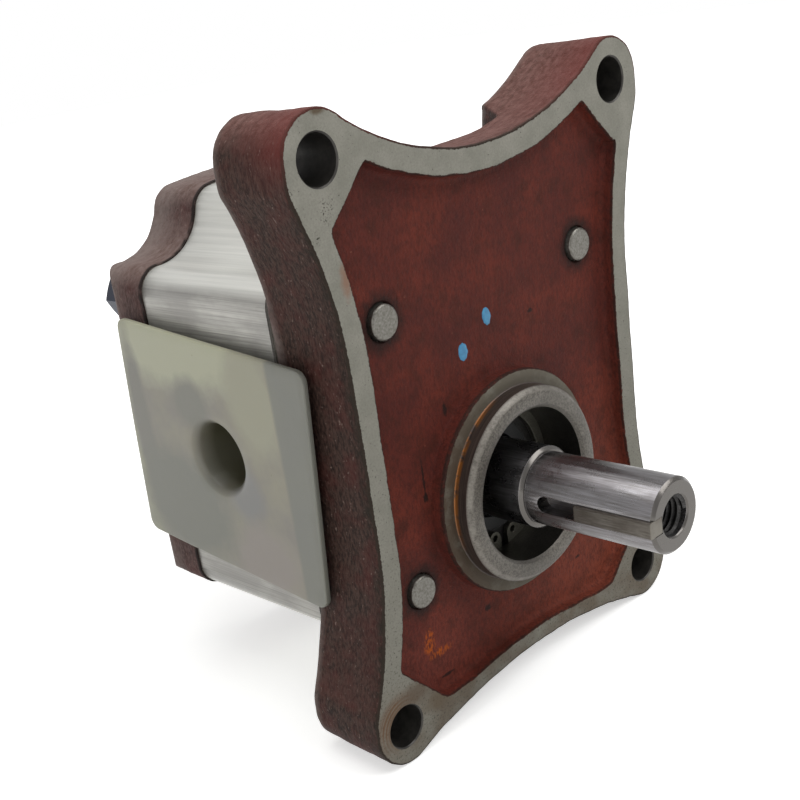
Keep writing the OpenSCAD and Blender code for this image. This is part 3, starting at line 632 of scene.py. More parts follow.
# %% [markdown]
# ## Castings' finish
#
# Red oxide primer on sand-cast iron is matt and thick. It is maroon where it stayed clean, and dark brown with
# shop grime on the outer walls, where handling left it streaky. The faces that look up are lighter, which is
# painted light from above, and the rear edges are dusty.
# The milled rim is bare grey iron: graphite gives it a fine dark speckle, and open pores and old oil make
# larger spots, more of them low down where the pump was stood in dirt. One material holds both, because the
# paint share on the points tells where the cutter took the paint off, and noise on that share makes the edge
# ragged.
#
# Single marks, such as a rust stain, sit at one place. `patch` gives a ragged spot about such a place.

# %% Marks at one place
def patch(tree, x, z, half_x, half_z, ragged=0.9, size=2.5, edge=0.3, axis="X"):
    """A spot at x (or at Y, by the axis) and z in mm, as a share from 0 outside to 1 inside."""
    far = 0.0
    for place, middle, half in ((along(tree, axis), x, half_x), (along(tree, "Z"), z, half_z)):
        off = add(tree, "Math", {0: place, 1: middle}, operation="SUBTRACT")
        off = add(tree, "Math", {0: off, 1: half}, operation="DIVIDE").outputs[0]
        far = add(tree, "Math", {0: product(tree, off, off), 1: far}, operation="ADD")
    far = add(tree, "Math", {0: far}, operation="SQRT")
    rough = add(tree, "Math", {0: grains(tree, size, 4, shift=x), 1: 0.5}, operation="SUBTRACT").outputs[0]
    uneven = add(tree, "Math", {0: far, 1: product(tree, rough, 2 * ragged)}, operation="ADD").outputs[0]
    return zone(tree, uneven, 1.0 + edge / 2, 1.0 - edge / 2)


print("marks are placed in mm, such as round the bolts at", [(x, round(z, 2)) for x, z in bolts])

# %% Red oxide primer
def pits(tree):
    """Where the casting's small open pits are: in clusters, as sand leaves them."""
    return product(tree, band(tree, 1.4, 0.64, 0.72, 5, shift=15), band(tree, 13, 0.42, 0.62, shift=27))


def clean_primer(tree):
    """Colour of the primer on the flange's floor, where no hand has rubbed it, with painted light to the lower
    right.
    """
    right_less_up = add(tree, "Math", {0: along(tree, "X"), 1: along(tree, "Z")}, operation="SUBTRACT").outputs[0]
    # Lighter towards the lower right: painted light.
    painted_light_low_right = zone(tree, right_less_up, 20, 95)
    worn = band(tree, 1.3, 0.68, 0.74, 5, shift=21)
    return coats(
        tree, "4b1f19", ("60281d", band(tree, 19, 0.35, 0.7)), ("7c3c2b", painted_light_low_right, 0.8),
        ("703429", patch(tree, -38, -44, 15, 12, 0.5, 6.0, 1.0), 0.6),
        ("2f1512", band(tree, 0.8, 0.42, 0.7, 4, stretch=(1, 1, 2.2)), 0.6),
        ("33170f", band(tree, 6, 0.5, 0.68, 4, shift=7), 0.5), ("7d4a3c", worn, 0.5))


def primer(tree, side_dark, side_light, painted_lit_top_dark, painted_lit_top_light, dusty_from, dusty_to):
    """Colour and height of primer on the outer walls of a sand casting, with painted light on faces that look up.
    """
    facing = add(tree, "SeparateXYZ", {0: add(tree, "NewGeometry").outputs["Normal"]}).outputs
    # Faces that look up get the lighter top colours: painted light from above.
    upper = zone(tree, facing["Z"], 0.3, 0.85)
    streak = grains(tree, 0.7, 4, stretch=(1, 1.2, 2.6))
    painted_lit_top = coat(tree, painted_lit_top_dark, painted_lit_top_light, band(tree, 1.6, 0.35, 0.65, 4, stretch=(2, 1, 1)))
    dusty = product(tree, zone(tree, "Y", dusty_from, dusty_to), band(tree, 2.4, 0.25, 0.62, 6, shift=11, low=0.35))
    tips = band(tree, 1.0, 0.63, 0.7, 5, stretch=(1, 1, 1.6), shift=5)
    paint = coats(
        tree, side_dark, (side_light, zone(tree, streak, 0.38, 0.62)),
        ("4d2320", band(tree, 9, 0.45, 0.7, shift=3), 0.5), (painted_lit_top, upper), ("857974", dusty, 0.7),
        ("85726a", tips, 0.65), ("150d0b", pits(tree), 0.85))
    coarse = grains(tree, 3.0, 3, shift=2)
    return paint, add(tree, "Math", {0: product(tree, streak, 1.2), 1: coarse}, operation="ADD").outputs[0]


for tone in ("4b1f19", "7c3c2b"):
    print("primer colour as linear light:", [round(v, 3) for v in colour(tone)[:3]])

# %% [markdown]
# The bare rim isn't one grey. It is darker towards the bottom, which is painted shade, and browner below.
# Round the lower left hole a rusty washer has left a stain, whose rings are noise that only changes with the
# distance from the hole.

# %% Milled rim
def milled(tree):
    """Colour of a milled cast-iron face."""
    # Darker towards the bottom: painted shade. The same share puts more pits low down.
    low = zone(tree, "Z", 75, -35)
    bottom = zone(tree, "Z", -38, -52)
    face = coats(
        tree, "7c7b72", ("8d8b82", band(tree, 8, 0.3, 0.7)), ("75736a", low, 0.6),
        ("5b4f42", bottom, band(tree, 12, 0.3, 0.6, shift=6), 0.8), ("5c584e", band(tree, 0.6, 0.35, 0.65), 0.28))
    for size, detail, shift, start, drop, full, tone, depth in (
            (0.7, 2, 1, 0.68, 0.13, 0.72, "2f2c26", 0.85), (3.4, 5, 9, 0.71, 0.05, 0.73, "3b3028", 0.9)):
        more_below = add(tree, "Math", {0: start, 1: product(tree, low, drop)}, operation="SUBTRACT")
        face = coat(tree, face, tone, band(tree, size, more_below, full, detail, shift=shift), depth)
    hole_ring = radius(tree, (ears[0][0], 0, ears[0][1]))
    turns = {"W": product(tree, hole_ring, 1.6), "Scale": 1.0, "Detail": 3.0}
    scored = add(tree, "TexNoise", turns, noise_dimensions="1D").outputs["Fac"]
    washer = product(tree, zone(tree, hole_ring, 12.6, 10.5), zone(tree, scored, 0.35, 0.6, 0.35, 1.0))
    for x, z, half_x, half_z, tone, depth, soft in (
            (-66, -49, 8, 9, "5d432f", 0.9, 0.9), (-54, -46, 6, 3.5, "4f3f31", 0.7, 0.9),
            (-46, -53, 5, 3, "5b4f40", 0.6, 1.0)):
        mark = patch(tree, x, z, half_x, half_z, 0.5, 3.5, soft)
        mark = product(tree, mark, washer) if x < -60 else mark
        face = coat(tree, face, tone, mark, depth)
    for x, z, half_x, half_z, tone in ((-56.8, 77.5, 1.6, 4.2, "80604f"), (-57.6, 119.4, 2.2, 1.1, "4b3a26")):
        face = coat(tree, face, tone, patch(tree, x, z, half_x, half_z, 0.6, 2.0, 0.9), 0.8)
    foot = coat(tree, "575147", "43372c", zone(tree, "X", -8, -28))
    patchy = band(tree, 5, 0.2, 0.5, 4, shift=19, low=0.55, high=0.95)
    face = coat(tree, face, foot, zone(tree, radius(tree), 36, 35.2), patchy)
    flecks = band(tree, 0.6, 0.55, 0.59, 4, shift=17)
    for x, z, half_x, half_z in (
            (-60.2, 95.4, 1.5, 3.0), (-58.0, 97.2, 1.0, 1.8), (-64.2, 89.6, 1.0, 1.6), (-71.0, 101.5, 1.2, 1.6)):
        face = coat(tree, face, "29261f", patch(tree, x, z, half_x, half_z, 1.0, 1.5, 0.9), flecks)
    return face


print("the rusty washer sat round the hole at", ears[0], "mm")

# %% [markdown]
# Outside, the primer is redder near the top of the upper ears, and grime has settled along the rim. Inside, it
# is cleaner: rust in one corner, dark scratches, a darker ring round each bolt, a darker band along the top of
# the recess wall, and painted light that grows towards the lower right. Each mark is one row of a list.

# %% Paint outside and inside the rim
def outer_paint(tree):
    """Primer on the flange's outer walls: redder near the rim of the upper ears, with grime along the rim."""
    paint, sand = primer(tree, "231814", "46342e", "573932", "775650", 25.0, 28.5)
    ear_top = product(tree, zone(tree, "Z", 99, 112), zone(tree, "Y", 20, 2))
    blotches = band(tree, 2.2, 0.34, 0.6, 4, shift=13)
    near_edge = product(tree, zone(tree, "Y", 4.5, 1.2), blotches, zone(tree, "Z", 108, 92))
    edge_line = product(tree, zone(tree, "Y", 0.9, 0.35), zone(tree, "Z", 100, 112, 0.85, 0.35))
    return coats(tree, paint, ("6a2f2b", ear_top, 0.6), ("1f1a13", near_edge, 0.85), ("2b241d", edge_line)), sand


def floor_paint(tree):
    """Primer inside the rim, with rust in one corner, dark scratches, and darker bands round the bolts and edges.
    """
    paint = clean_primer(tree)
    rust = band(tree, 0.7, 0.44, 0.56, stretch=(1, 1, 2.5), shift=41)
    for x, z, half_x, half_z in ((-42.2, -35.6, 1.8, 2.8), (-42.6, -38.6, 2.2, 1.6), (-38.4, -41.6, 4.0, 1.3)):
        paint = coat(tree, paint, "a04c14", patch(tree, x, z, half_x, half_z, 0.8, 1.2, 0.8), rust, 0.85)
    for x, z, half_x, half_z in (
            (-35.6, 13.5, 0.4, 5.5), (-35.7, 8.0, 0.9, 1.6), (-23.5, 30.5, 0.8, 1.9), (56.2, 28.6, 1.4, 1.0),
            (18.0, 48.0, 1.2, 0.6), (-36.6, -50.3, 3.0, 0.5), (-15.7, -37.5, 1.3, 1.0), (-11.0, -30.5, 0.8, 0.7),
            (30.0, -40.0, 1.2, 0.5)):
        paint = coat(tree, paint, "170e0b", patch(tree, x, z, half_x, half_z, 0.9, 1.0, 0.4), 0.85)
    for x, z in bolts:
        halo = product(tree, patch(tree, x, z, 7.8, 7.8, 0.35, 2.5, 0.5), zone(tree, "Y", 6, 5.4))
        paint = coat(tree, paint, "1a110e", halo, 0.85)
    lip = product(tree, zone(tree, "Y", 1.0, 0.4), band(tree, 1.6, 0.3, 0.5, 4, shift=13))
    paint = coats(tree, paint, ("150d0b", pits(tree), 0.9), ("231a15", lip, 0.8))
    fine, coarse = grains(tree, 0.75, 4), grains(tree, 3.0, 3, shift=2)
    return paint, add(tree, "Math", {0: fine, 1: coarse}, operation="ADD").outputs[0]


def painted_and_milled(name, primer_kind):
    """Primer where the paint share on the points is high, and milled iron where it is low."""
    material, tree, shader = new_material(name, Roughness=0.66, Specular_IOR_Level=0.14)
    paint, sand = primer_kind(tree)
    share = add(tree, "Attribute", attribute_name="paint").outputs["Fac"]
    rough = add(tree, "Math", {0: grains(tree, 1.1, 4), 1: 0.5}, operation="SUBTRACT").outputs[0]
    ragged = add(tree, "Math", {0: share, 1: product(tree, rough, 0.7)}, operation="ADD").outputs[0]
    painted = zone(tree, ragged, 0.46, 0.52)
    height = product(tree, sand, zone(tree, painted, 0, 1, 0.12, 1))
    surface(tree, shader, coat(tree, milled(tree), paint, painted), height, 0.3)
    return material


primed_milled = painted_and_milled("Grey cast iron, red oxide primer, milled rim", outer_paint)
primed_recess = painted_and_milled("Grey cast iron, red oxide primer, recess", floor_paint)
print(primed_milled.name, "and", primed_recess.name)

# %% [markdown]
# The cover's casting wears the same primer, a little greyer and cleaner, with pale worn edges at the back and
# painted shade on its front lip at the joint.

# %% Primer on the rear cover
primed, tree, shader = new_material(
    "Grey cast iron, sand cast, red oxide primer", Roughness=0.7, Specular_IOR_Level=0.14)
paint, sand = primer(tree, "40302d", "5f4c49", "64504a", "7d6b66", 98, 108)
# A dark band on the cover's front lip at the joint with the housing: painted shade.
joint_painted_shade = product(tree, zone(tree, "Y", 91.2, 90.3), band(tree, 4, 0.25, 0.5, shift=4))
paint = coat(tree, paint, "14100e", joint_painted_shade, 0.9)
surface(tree, shader, paint, sand, 0.3)
print(primed.name)

# %% [markdown]
# Turned cast iron shows a fine grain on the face and rings from the tool. The radius drives the rings, and the
# grain is noise of a few tenths of a millimetre, drawn at half a millimetre so that it shows. The spigot's
# chamfer is lighter, partly from wear and partly as a painted highlight. Inside the bore a much darker copy
# of the iron gives painted shade.

# %% Turned and drilled iron
def turned_iron(name, light, dark, roughness, metallic):
    material, tree, shader = new_material(name, Roughness=roughness, Metallic=metallic)
    grain = band(tree, 0.55, 0.35, 0.7, 2)
    tone = coats(tree, light, (dark, grain), (dark, band(tree, 11, 0.45, 0.75, shift=4), 0.5))
    behind = zone(tree, "Y", -5.6, -5.2)
    outside = product(tree, zone(tree, radius(tree), 28.9, 29.5), behind, zone(tree, "Y", 2, 1))
    streaks = band(tree, 0.5, 0.3, 0.7, stretch=(30, 1, 30))
    brown = coat(tree, "261e1b", "4d413b", streaks)
    # The spigot's chamfer is lighter: partly wear, partly a painted highlight.
    worn_and_highlit_chamfer = product(tree, zone(tree, radius(tree), 28.2, 28.9), zone(tree, "Y", -5.2, -5.8))
    tone = coat(tree, tone, "9a958c", worn_and_highlit_chamfer, band(tree, 3, 0.3, 0.55, 4, shift=8), 0.35)
    rust_line = product(tree, zone(tree, "Y", -2.6, -1.7), zone(tree, "X", -6, -16), zone(tree, "Z", -12, 2))
    brown = coat(tree, brown, "84501f", rust_line, band(tree, 4, 0.36, 0.5, 4))
    rings = add(tree, "Math", {0: product(tree, radius(tree), 14.0)}, operation="SINE").outputs[0]
    height = add(tree, "Math", {0: product(tree, rings, 0.12), 1: grain}, operation="ADD")
    surface(tree, shader, coat(tree, tone, brown, outside), height, 0.03)
    return material


turned = turned_iron("Grey cast iron, turned", "66615a", "3d3933", 0.45, 0.4)
# The bore's copy is much darker than turned iron: painted shade inside the deep bore.
bored = turned_iron("Grey cast iron, bored, with painted shade", "312f2b", "1b1917", 0.3, 0.5)
drilled, tree, shader = new_material("Grey cast iron, drilled", Roughness=0.4, Metallic=0.6)
tree.links.new(coat(tree, "2b2a28", "45423e", band(tree, 3, 0.3, 0.7)), shader.inputs["Base Color"])
flange_piece = flange.piece("flange_casting", "pump_body", [primed_milled, primed_recess, turned, drilled, bored])
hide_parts("front_flange")

# %% [markdown]
# ## Rear cover
#
# The rear cover is cast and primed like the flange, with its joint face machined flat. Its outline follows
# the housing and stands just proud of it. The left and right edges have a large rounding to the back, which
# is written as a limit for Y at each place, and the spot faces under the washers are cut to one depth.

# %% Rear cover
cover = Shell()
cover_front, cover_back, cover_side, cover_round = 89.5, 114.5, 61.4, 14.0
spot_r, spot_y, clear_r = 11.0, 113.3, 5.3


def cover_limit(x):
    """How far back the rounded cover reaches at a distance from its middle."""
    past = np.clip(np.abs(x) - (cover_side - cover_round), 0, cover_round)
    return cover_back - cover_round + np.sqrt(cover_round ** 2 - past ** 2)


cover_edge = spread(outlines("rear_cover", cover_front, -1)[0], 560)
cover_lip = [(0.45, cover_front), (0.1, cover_front + 0.12), (0, cover_front + 0.5)]
cover_rings = cast_wall(cover_edge, cover_lip, cover_front + 0.5, np.full(560, cover_back), 3.4, 0.5, 0.55, 20)
for ring in cover_rings:
    ring[:, 1] = np.minimum(ring[:, 1], cover_limit(ring[:, 0]) - 0.05)
cover.rings(cover_rings, 0, 1.0)


def cover_skin(x, z):
    """Y of the cover's rear skin at a place: wavy, and flat where a washer sits."""
    skin = cover_limit(x) - 0.12 - 0.12 * noise.noise(Vector((x / 12, z / 12, 5)))
    nearest = min(math.hypot(x - bx, z - bz) for bx, bz in bolts)
    return min(skin, spot_y) if nearest < spot_r + 0.05 else skin


spot_edges = [circle(x, z, r) for x, z in bolts for r in (spot_r, spot_r + 0.15)]
cover.sheet([cover_rings[-1], *mouths(bolts, clear_r, spot_y)], cover_skin, 2.4, 0, 1.0, more=spot_edges)
cover.sheet([cover_rings[0], *mouths(bolts, clear_r, cover_front)], lambda x, z: cover_front, 6.0, 1, 0.0)
for x, z in bolts:
    cover.turned(x, z, [(clear_r, cover_front), (clear_r, spot_y)], 2, 0.0)
cover_piece = cover.piece("cover_casting", "pump_body", [primed, turned, drilled])
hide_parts("rear_cover")

# %% [markdown]
# ## Finishing the CAD pieces
#
# The precise pieces keep their CAD shape. Real edges are never perfectly sharp, and it is the small rounding
# that catches the light. The modifiers first join the triangles of each flat face, then round the edges that
# are left.

# %% Edge rounding
def finish_node(name, material, rounding=0.25):
    piece = cad[name]
    piece.data.materials.clear()
    piece.data.materials.append(material)
    piece.modifiers.new("weld", "WELD").merge_threshold = 2e-6
    flat = piece.modifiers.new("flat faces", "DECIMATE")
    flat.decimate_type, flat.angle_limit = "DISSOLVE", math.radians(0.6)
    edge = piece.modifiers.new("edges", "BEVEL")
    edge.width, edge.segments, edge.limit_method, edge.angle_limit = rounding * MM, 2, "ANGLE", math.radians(35)
    edge.harden_normals = True


print("edge rounding 0.25 mm unless a piece says otherwise")

# %% [markdown]
# ## Gear housing
#
# The housing is sawn from an aluminium extrusion. The die draws fine lines along the shaft axis, which the
# eye reads as streaks, and handling leaves grey scuffs on the flat sides. The streaks are noise about a third
# of a millimetre wide, drawn out a hundred times along Y.

# %% Extruded aluminium
aluminium, tree, shader = new_material("Aluminium alloy, extruded", Metallic=0.55, Roughness=0.42)
wide = band(tree, 1.6, 0.3, 0.7, stretch=(1, 60, 1))
fine = band(tree, 0.45, 0.3, 0.7, stretch=(1, 90, 1))
clean = coat(tree, "c9c9c3", "dddcd6", wide)
side = zone(tree, add(tree, "Math", {0: along(tree, "X")}, operation="ABSOLUTE"), 58.5, 60.0)
cloud = band(tree, 13, 0.4, 0.62, 4, stretch=(1, 2, 1))
scuffed = coats(tree, "8e8c88", ("b9b7b1", fine), ("7f7d79", cloud, 0.6))
lines = add(tree, "Math", {0: wide, 1: fine}, operation="ADD")
surface(tree, shader, coat(tree, clean, scuffed, side), lines, 0.035)
finish_node("gear_housing", aluminium, 0.4)
print(aluminium.name)

# %% [markdown]
# ## Steel pieces
#
# The shaft is hardened steel, ground to size: bright, with faint rings round its axis. The key is plain drawn
# bar, a little yellow from oil. The bolts' ends are bare and turned, and their heads are blackened. Each is
# metal with its own brightness and roughness, and noise drawn out round the axis gives the rings.

# %% Steel materials
def steel(name, light, dark, roughness, stretch=(1, 1, 1), size=0.4, depth=0.01, stain=0.35, end=None):
    """Steel with fine lines. Faces across the axis can have their own tone, as turned ends do."""
    material, tree, shader = new_material(name, Metallic=1.0)
    lines = band(tree, size, 0.3, 0.7, stretch=stretch)
    marks = band(tree, 7, 0.4, 0.72, 4, shift=3)
    tone = coat(tree, light, dark, lines)
    if end:
        facing = add(tree, "SeparateXYZ", {0: add(tree, "NewGeometry").outputs["Normal"]}).outputs["Y"]
        tone = coat(tree, tone, end, zone(tree, product(tree, facing, -1.0), 0.35, 0.65))
    surface(tree, shader, coat(tree, tone, dark, marks, stain), lines, depth)
    tree.links.new(zone(tree, marks, 0, 1, roughness, roughness + 0.12), shader.inputs["Roughness"])
    return material


ground = steel("Carburised steel, hardened and ground", "908e91", "6b6867", 0.25, (1, 22, 1), 0.45, 0.004,
    stain=0.2, end="5d5a57")
key_bar = steel("Key steel, drawn bar", "76726c", "524c46", 0.42, (1, 12, 1), 0.5, 0.01, stain=0.6, end="6e6a63")
zinc = steel("Steel, zinc plated", "9fa09c", "7e7e7a", 0.35)
spring_steel = steel("Spring steel, phosphated", "7b796f", "55534b", 0.42)
seal_steel = steel("Steel sheet, deep drawn", "4c4b49", "313030", 0.35)
print(ground.name, "and", key_bar.name)

# %% Bolts: bare ends and blackened heads
bolt_steel, tree, shader = new_material(
    "Alloy steel bolt, turned end and blackened head", Metallic=0.9, Roughness=0.42)
rough_end = band(tree, 0.7, 0.35, 0.7)
tone = coats(tree, "777570", ("59564f", rough_end), ("3d404b", zone(tree, "Y", 60, 61)))
surface(tree, shader, tone, rough_end, 0.03)
for name, material, slot, rounding in (
        ("through_bolts", bolt_steel, "bolt_steel", 0.25), ("bolt_washers", zinc, "washer_steel", 0.25),
        ("drive_gear_shaft", ground, "ground_steel", 0.2), ("idler_gear", ground, "ground_steel", 0.2),
        ("shaft_key", key_bar, "key_steel", 0.25), ("dowel_pins", ground, "ground_steel", 0.2),
        ("seal_circlip", spring_steel, "seal_steel", 0.15), ("shaft_seal_case", seal_steel, "seal_steel", 0.2),
        ("seal_spring", zinc, "seal_steel", 0.02)):
    finish_node(name, material, rounding)
print("steel pieces finished")

# %% [markdown]
# ## Pieces inside the body
#
# The bearing blocks are a harder aluminium alloy than the housing, the bushes are steel-backed bronze, the
# seals are nitrile rubber and the backup rings are white PTFE. They show when the pump is taken apart, so
# each has its own finish too.

# %% Inner materials
def plain(name, light, dark, size, depth, **values):
    material, tree, shader = new_material(name, **values)
    cloud = band(tree, size, 0.3, 0.7)
    surface(tree, shader, coat(tree, light, dark, cloud), cloud, depth)
    return material


block_alloy = plain("Aluminium bearing alloy, machined", "c2c4c4", "a4a6a6", 0.8, 0.01, Metallic=0.9,
    Roughness=0.36)
bronze = plain("Bronze on steel, rolled", "a9743f", "8a5a2c", 1.2, 0.01, Metallic=1.0, Roughness=0.35)
rubber = plain("Nitrile rubber, moulded", "1d1d1d", "121212", 0.6, 0.02, Roughness=0.55)
ptfe = plain("PTFE, skived", "e6e4dc", "d6d3c9", 1.5, 0.01, Roughness=0.5)
bushes = ("drive_front_bush", "drive_rear_bush", "idler_front_bush", "idler_rear_bush")
seals = ("front_block_seal", "rear_block_seal", "front_body_seal", "rear_body_seal", "shaft_seal_lip")
for names, material, slot, rounding in (
        (("front_bearing_block", "rear_bearing_block"), block_alloy, "block_aluminium", 0.3),
        (bushes, bronze, "bush_bronze", 0.15), (seals, rubber, "nitrile_rubber", 0.2),
        (("front_backup_ring", "rear_backup_ring"), ptfe, "ptfe_white", 0.15)):
    for name in names:
        finish_node(name, material, rounding)
print("inner pieces finished")

# %% [markdown]
# ## Thread in the shaft's end
#
# The hole in the shaft's end is tapped M12. Its coarse thread shows as rings of light in the mouth, so it is
# modelled: a helix of ridges with the real pitch, lying inside the CAD hole and turning with the shaft.

# %% Helical thread
pitch, crest_r, root_r, mouth_y, turns, steps = 1.75, 5.15, 5.93, -54.2, 14, 48
thread_points, thread_faces = [], []
for i in range(turns * steps + 1):
    turn = i * 2 * math.pi / steps
    y = mouth_y + pitch * i / steps
    for r, dy in ((root_r, 0.0), (crest_r, 0.62), (crest_r, 0.95), (root_r, 1.57), (root_r, 1.75)):
        thread_points.append((r * math.cos(turn) * MM, (y + dy) * MM, r * math.sin(turn) * MM))
for i in range(turns * steps):
    for k in range(4):
        low = i * 5 + k
        thread_faces.append((low, low + 1, low + 6, low + 5))
thread_mesh = bpy.data.meshes.new("shaft_thread")
thread_mesh.from_pydata(thread_points, [], thread_faces)
thread_mesh.shade_smooth()
thread_mesh.set_sharp_from_angle(angle=math.radians(30))
thread_mesh.materials.append(steel("Steel, tapped and oily", "4b4a4a", "2b2a29", 0.35))
thread = new_object("shaft_thread", thread_mesh)
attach(thread, "drive")
print(turns, "turns of thread")

# %% [markdown]
# ## Plastic caps in the ports
#
# New pumps come with soft polyethylene caps pushed into their ports. A cap is moulded in one piece: a square
# plate with a hollow plug. The plastic is milky, so light goes in and comes out again, which subsurface
# scattering gives, and it looks yellow where it is clean and grey where it is scuffed or where dark paint
# lies behind it: large soft patches, each at its place along Y and Z. The plate isn't flat: it came warm out
# of its mould and sagged a little.

# %% Cap material
port_y, port_z = 60.0, middle_z
polyethylene, tree, shader = new_material(
    "Polyethylene, moulded, natural", Roughness=0.42, IOR=1.51, Subsurface_Weight=0.35,
    Subsurface_Radius=(1.0, 0.95, 0.7), Subsurface_Scale=0.002)
tone = coat(tree, "8a8676", "7e7a72", band(tree, 16, 0.35, 0.65, shift=2.3))
for y, z, half_y, half_z, milk in (
        (72, 55, 34, 13, "a4a48e"), (104, 24, 9, 52, "92917c"), (38, 42, 11, 17, "94927f"),
        (45, -10, 14, 12, "88817a"), (68.5, 38, 8, 8, "77766d"), (97, 24, 5, 30, "76746c"),
        (82, 2, 23, 19, "73736a"), (50, 12, 8, 9, "7b7a77")):
    tone = coat(tree, tone, milk, patch(tree, y, z, half_y, half_z, 0.35, 9.0, 0.55, "Y"))
# Darker inside the plug's hollow, and more so deeper in: painted shade.
hollow_painted_shade = zone(tree, radius(tree, (0, port_y, port_z), 0), 12.7, 11.2)
deep = zone(tree, add(tree, "Math", {0: along(tree, "X")}, operation="ABSOLUTE"), 66, 58, 0.35, 1.0)
tone = coats(
    tree, tone, ("71726b", zone(tree, "Y", 30.0, 28.6), 0.85),
    ("6d6a52", band(tree, 1.4, 0.7, 0.75, 5, shift=8), 0.7), ("3f3c2b", hollow_painted_shade, deep))
surface(tree, shader, tone, grains(tree, 5, 2), 0.05)
print(polyethylene.name)

# %% [markdown]
# The plate is built as rings from its back edge round to its front face, like the castings, and the face is
# a sheet of triangles that dips towards its middle. The plug is turned about the port's axis, with a funnel
# for a mouth. Both caps use the same steps with their own sizes.

# %% Port caps
def port_cap(name, node, body, side, plug_r, size_y, size_z, turn, shift, warp, corner=3.5):
    """A cap with a plate and a hollow plug. Side is -1 for the left port and 1 for the right one."""
    plate_x, thick, wall, reach_x, flare = 63.3, 2.0, 1.6, 42.5, 2.0
    cos_t, sin_t = math.cos(turn), math.sin(turn)
    run = [(size_y / 2 - corner, size_z / 2 - corner), (-size_y / 2 + corner, size_z / 2 - corner),
           (-size_y / 2 + corner, -size_z / 2 + corner), (size_y / 2 - corner, -size_z / 2 + corner)]
    edge = np.array([(cy + corner * math.cos(k * math.pi / 2 + a), cz + corner * math.sin(k * math.pi / 2 + a))
                     for k, (cy, cz) in enumerate(run) for a in np.linspace(0, math.pi / 2, 12)])
    edge = spread(edge + np.array(shift), 360)
    away = outward(edge)

    def sag(y, z):
        """How far the plate bows in at a place, and how its edges wander."""
        return warp * (math.sin(y * 0.045 + 0.6) * 0.5 + math.sin(z * 0.05 + 0.03 * y) * 0.5)

    def place(flat, w):
        """Points of the plate: flat is along Y and up, w is how far outside the plate's back they lie."""
        y, z = flat.T
        out = plate_x + w + np.array([sag(*spot) for spot in flat])
        return np.stack([side * out, port_y + y * cos_t - z * sin_t, port_z + y * sin_t + z * cos_t], 1)

    shell = Shell()
    rim = [(0.4, 0.0), (0.1, 0.1), (0.0, 0.4), (0.0, thick - 0.5), (0.14, thick - 0.13), (0.5, thick)]
    rings = [place(edge - away * inset, w) for inset, w in rim]
    shell.rings(rings)
    bore = plug_r - wall

    def axis_ring(r, x):
        """A ring round the port's axis, square to it."""
        flat = circle(0, 0, r)
        return np.stack([np.full(len(flat), side * x), port_y + flat[:, 0], port_z + flat[:, 1]], 1)

    def axis_plate_ring(r, w):
        """A ring round the port's axis that follows the sagging plate."""
        flat = circle(0, 0, r)
        ring = place(flat, w)
        ring[:, 1], ring[:, 2] = port_y + flat[:, 0], port_z + flat[:, 1]
        return ring

    mouth = [axis_plate_ring(r, w) for r, w in (
        (bore + flare + 0.5, thick), (bore + flare - 0.1, thick - 0.2), (bore + flare * 0.4, thick - 1.1))]
    end_x = reach_x + wall
    hollow = [axis_ring(r, x) for r, x in (
        (bore, plate_x), (bore - 0.25, end_x + 0.8), (bore - 1.1, end_x), (0, end_x))]
    shell.rings(mouth + hollow)
    outside = [axis_ring(r, x) for r, x in (
        (0, reach_x), (plug_r - 1.0, reach_x), (plug_r - 0.3, reach_x + 0.6), (plug_r, plate_x - 0.8),
        (plug_r + 0.6, plate_x))]
    shell.rings(outside)
    fill_plate(shell, rings[-1], mouth[0], lambda flat: place(flat, thick), cos_t, sin_t)
    fill_plate(shell, rings[0], outside[-1], lambda flat: place(flat, 0.0), cos_t, sin_t)
    made = shell.piece(name, body, [polyethylene], 50)
    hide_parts(node)


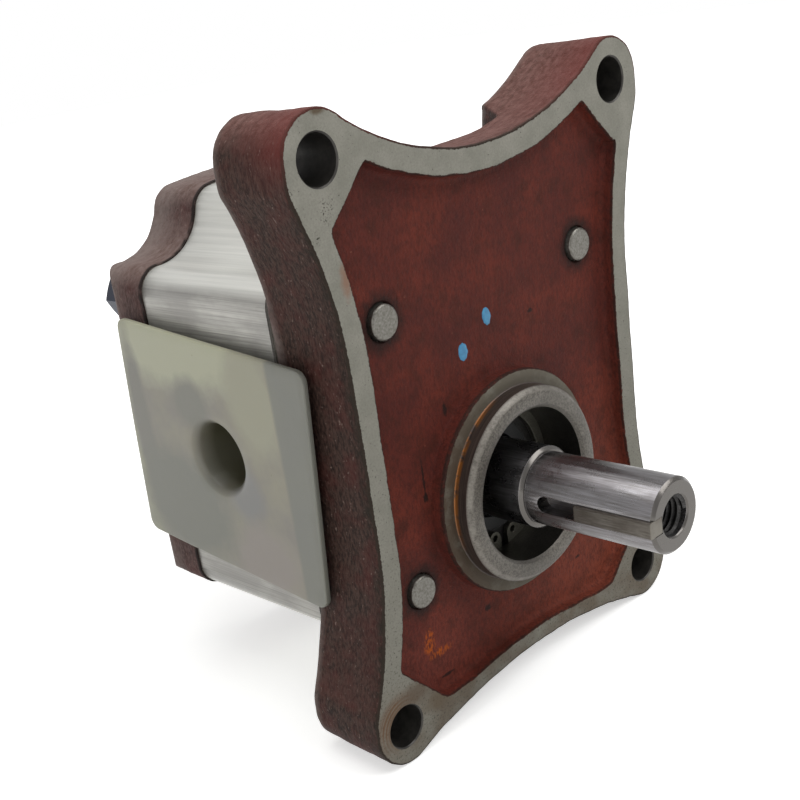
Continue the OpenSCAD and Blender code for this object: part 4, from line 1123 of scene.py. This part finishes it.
def fill_plate(shell, outer_ring, hole_ring, place, cos_t, sin_t, spacing=2.5):
    """A sheet between the plate's edge and its hole, both given as points in space."""
    borders = [ring[:, [1, 2]] for ring in (outer_ring, hole_ring)]
    low, high = borders[0].min(0), borders[0].max(0)
    ys, zs = np.meshgrid(np.arange(low[0], high[0], spacing), np.arange(low[1], high[1], spacing))
    spots, kept, on_border = filled(borders, np.stack([ys.ravel(), zs.ravel()], 1), spacing)
    y, z = spots[:, 0] - port_y, spots[:, 1] - port_z
    points = place(np.stack([y * cos_t + z * sin_t, z * cos_t - y * sin_t], 1))
    points[:, 1:] = spots
    known = np.vstack([outer_ring, hole_ring])
    for i, at in enumerate(on_border):
        if at >= 0:
            points[i] = known[at]
    shell.take(points, kept)


port_cap("left_cap", "left_port_cap", "left_cap", -1, 12.2, 86.4, 73.8, math.radians(5.5), (0.4, -0.5), 0.3)
port_cap("right_cap", "right_port_cap", "right_cap", 1, 9.2, 50, 50, 0.0, (0, 0), 0.2)

# %% [markdown]
# ## Blue inspection marks
#
# Someone dabbed two spots of blue marking paint on the flange. Wet paint pulls itself into a low bead with
# an uneven edge, so each spot is a thin dome whose outline wanders, laid on the rough floor.

# %% Paint dabs
marking, tree, shader = new_material("Marking paint, brushed", Roughness=0.45)
tree.links.new(coat(tree, "24688f", "3a86ad", band(tree, 1.5, 0.3, 0.7)), shader.inputs["Base Color"])


def dab(name, x, z, width, height, turn):
    """A low bead of wet paint on the floor, turned by an angle."""
    shell = Shell()
    angle = np.arange(64) * 2 * math.pi / 64
    wobble = np.array([1 + 0.16 * noise.noise(Vector((2 * math.cos(a), 2 * math.sin(a), x))) for a in angle])
    along_x, along_z = width / 2 * wobble * np.cos(angle), height / 2 * wobble * np.sin(angle)
    flat = np.stack([along_x * math.cos(turn) - along_z * math.sin(turn),
                     along_x * math.sin(turn) + along_z * math.cos(turn)], 1)
    rings = []
    for share, rise in ((1.0, -0.1), (0.96, 0.07), (0.85, 0.14), (0.5, 0.17), (0.02, 0.18)):
        spots = flat * share + (x, z)
        rings.append(lift(spots, np.array([floor_height(*s) for s in spots]) - rise))
    shell.rings(rings)
    shell.piece(name, "pump_body", [marking])


dab("paint_dab_upper", -1.7, 51.9, 3.7, 5.6, 0.2)
dab("paint_dab_lower", -13.1, 44.5, 3.9, 5.5, 0.1)

# %% [markdown]
# ## Sizes and the end
#
# The boxes of the CAD model and of the visual model are printed in millimetres. The visual model has
# to stay the size of the CAD model.

# %% Write the sizes and finish
seen_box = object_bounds()
for label, box in (("CAD", cad_box), ("visual", seen_box)):
    print(label, "box in mm:", [round(v / MM, 1) for v in box[0]], "to", [round(v / MM, 1) for v in box[1]])
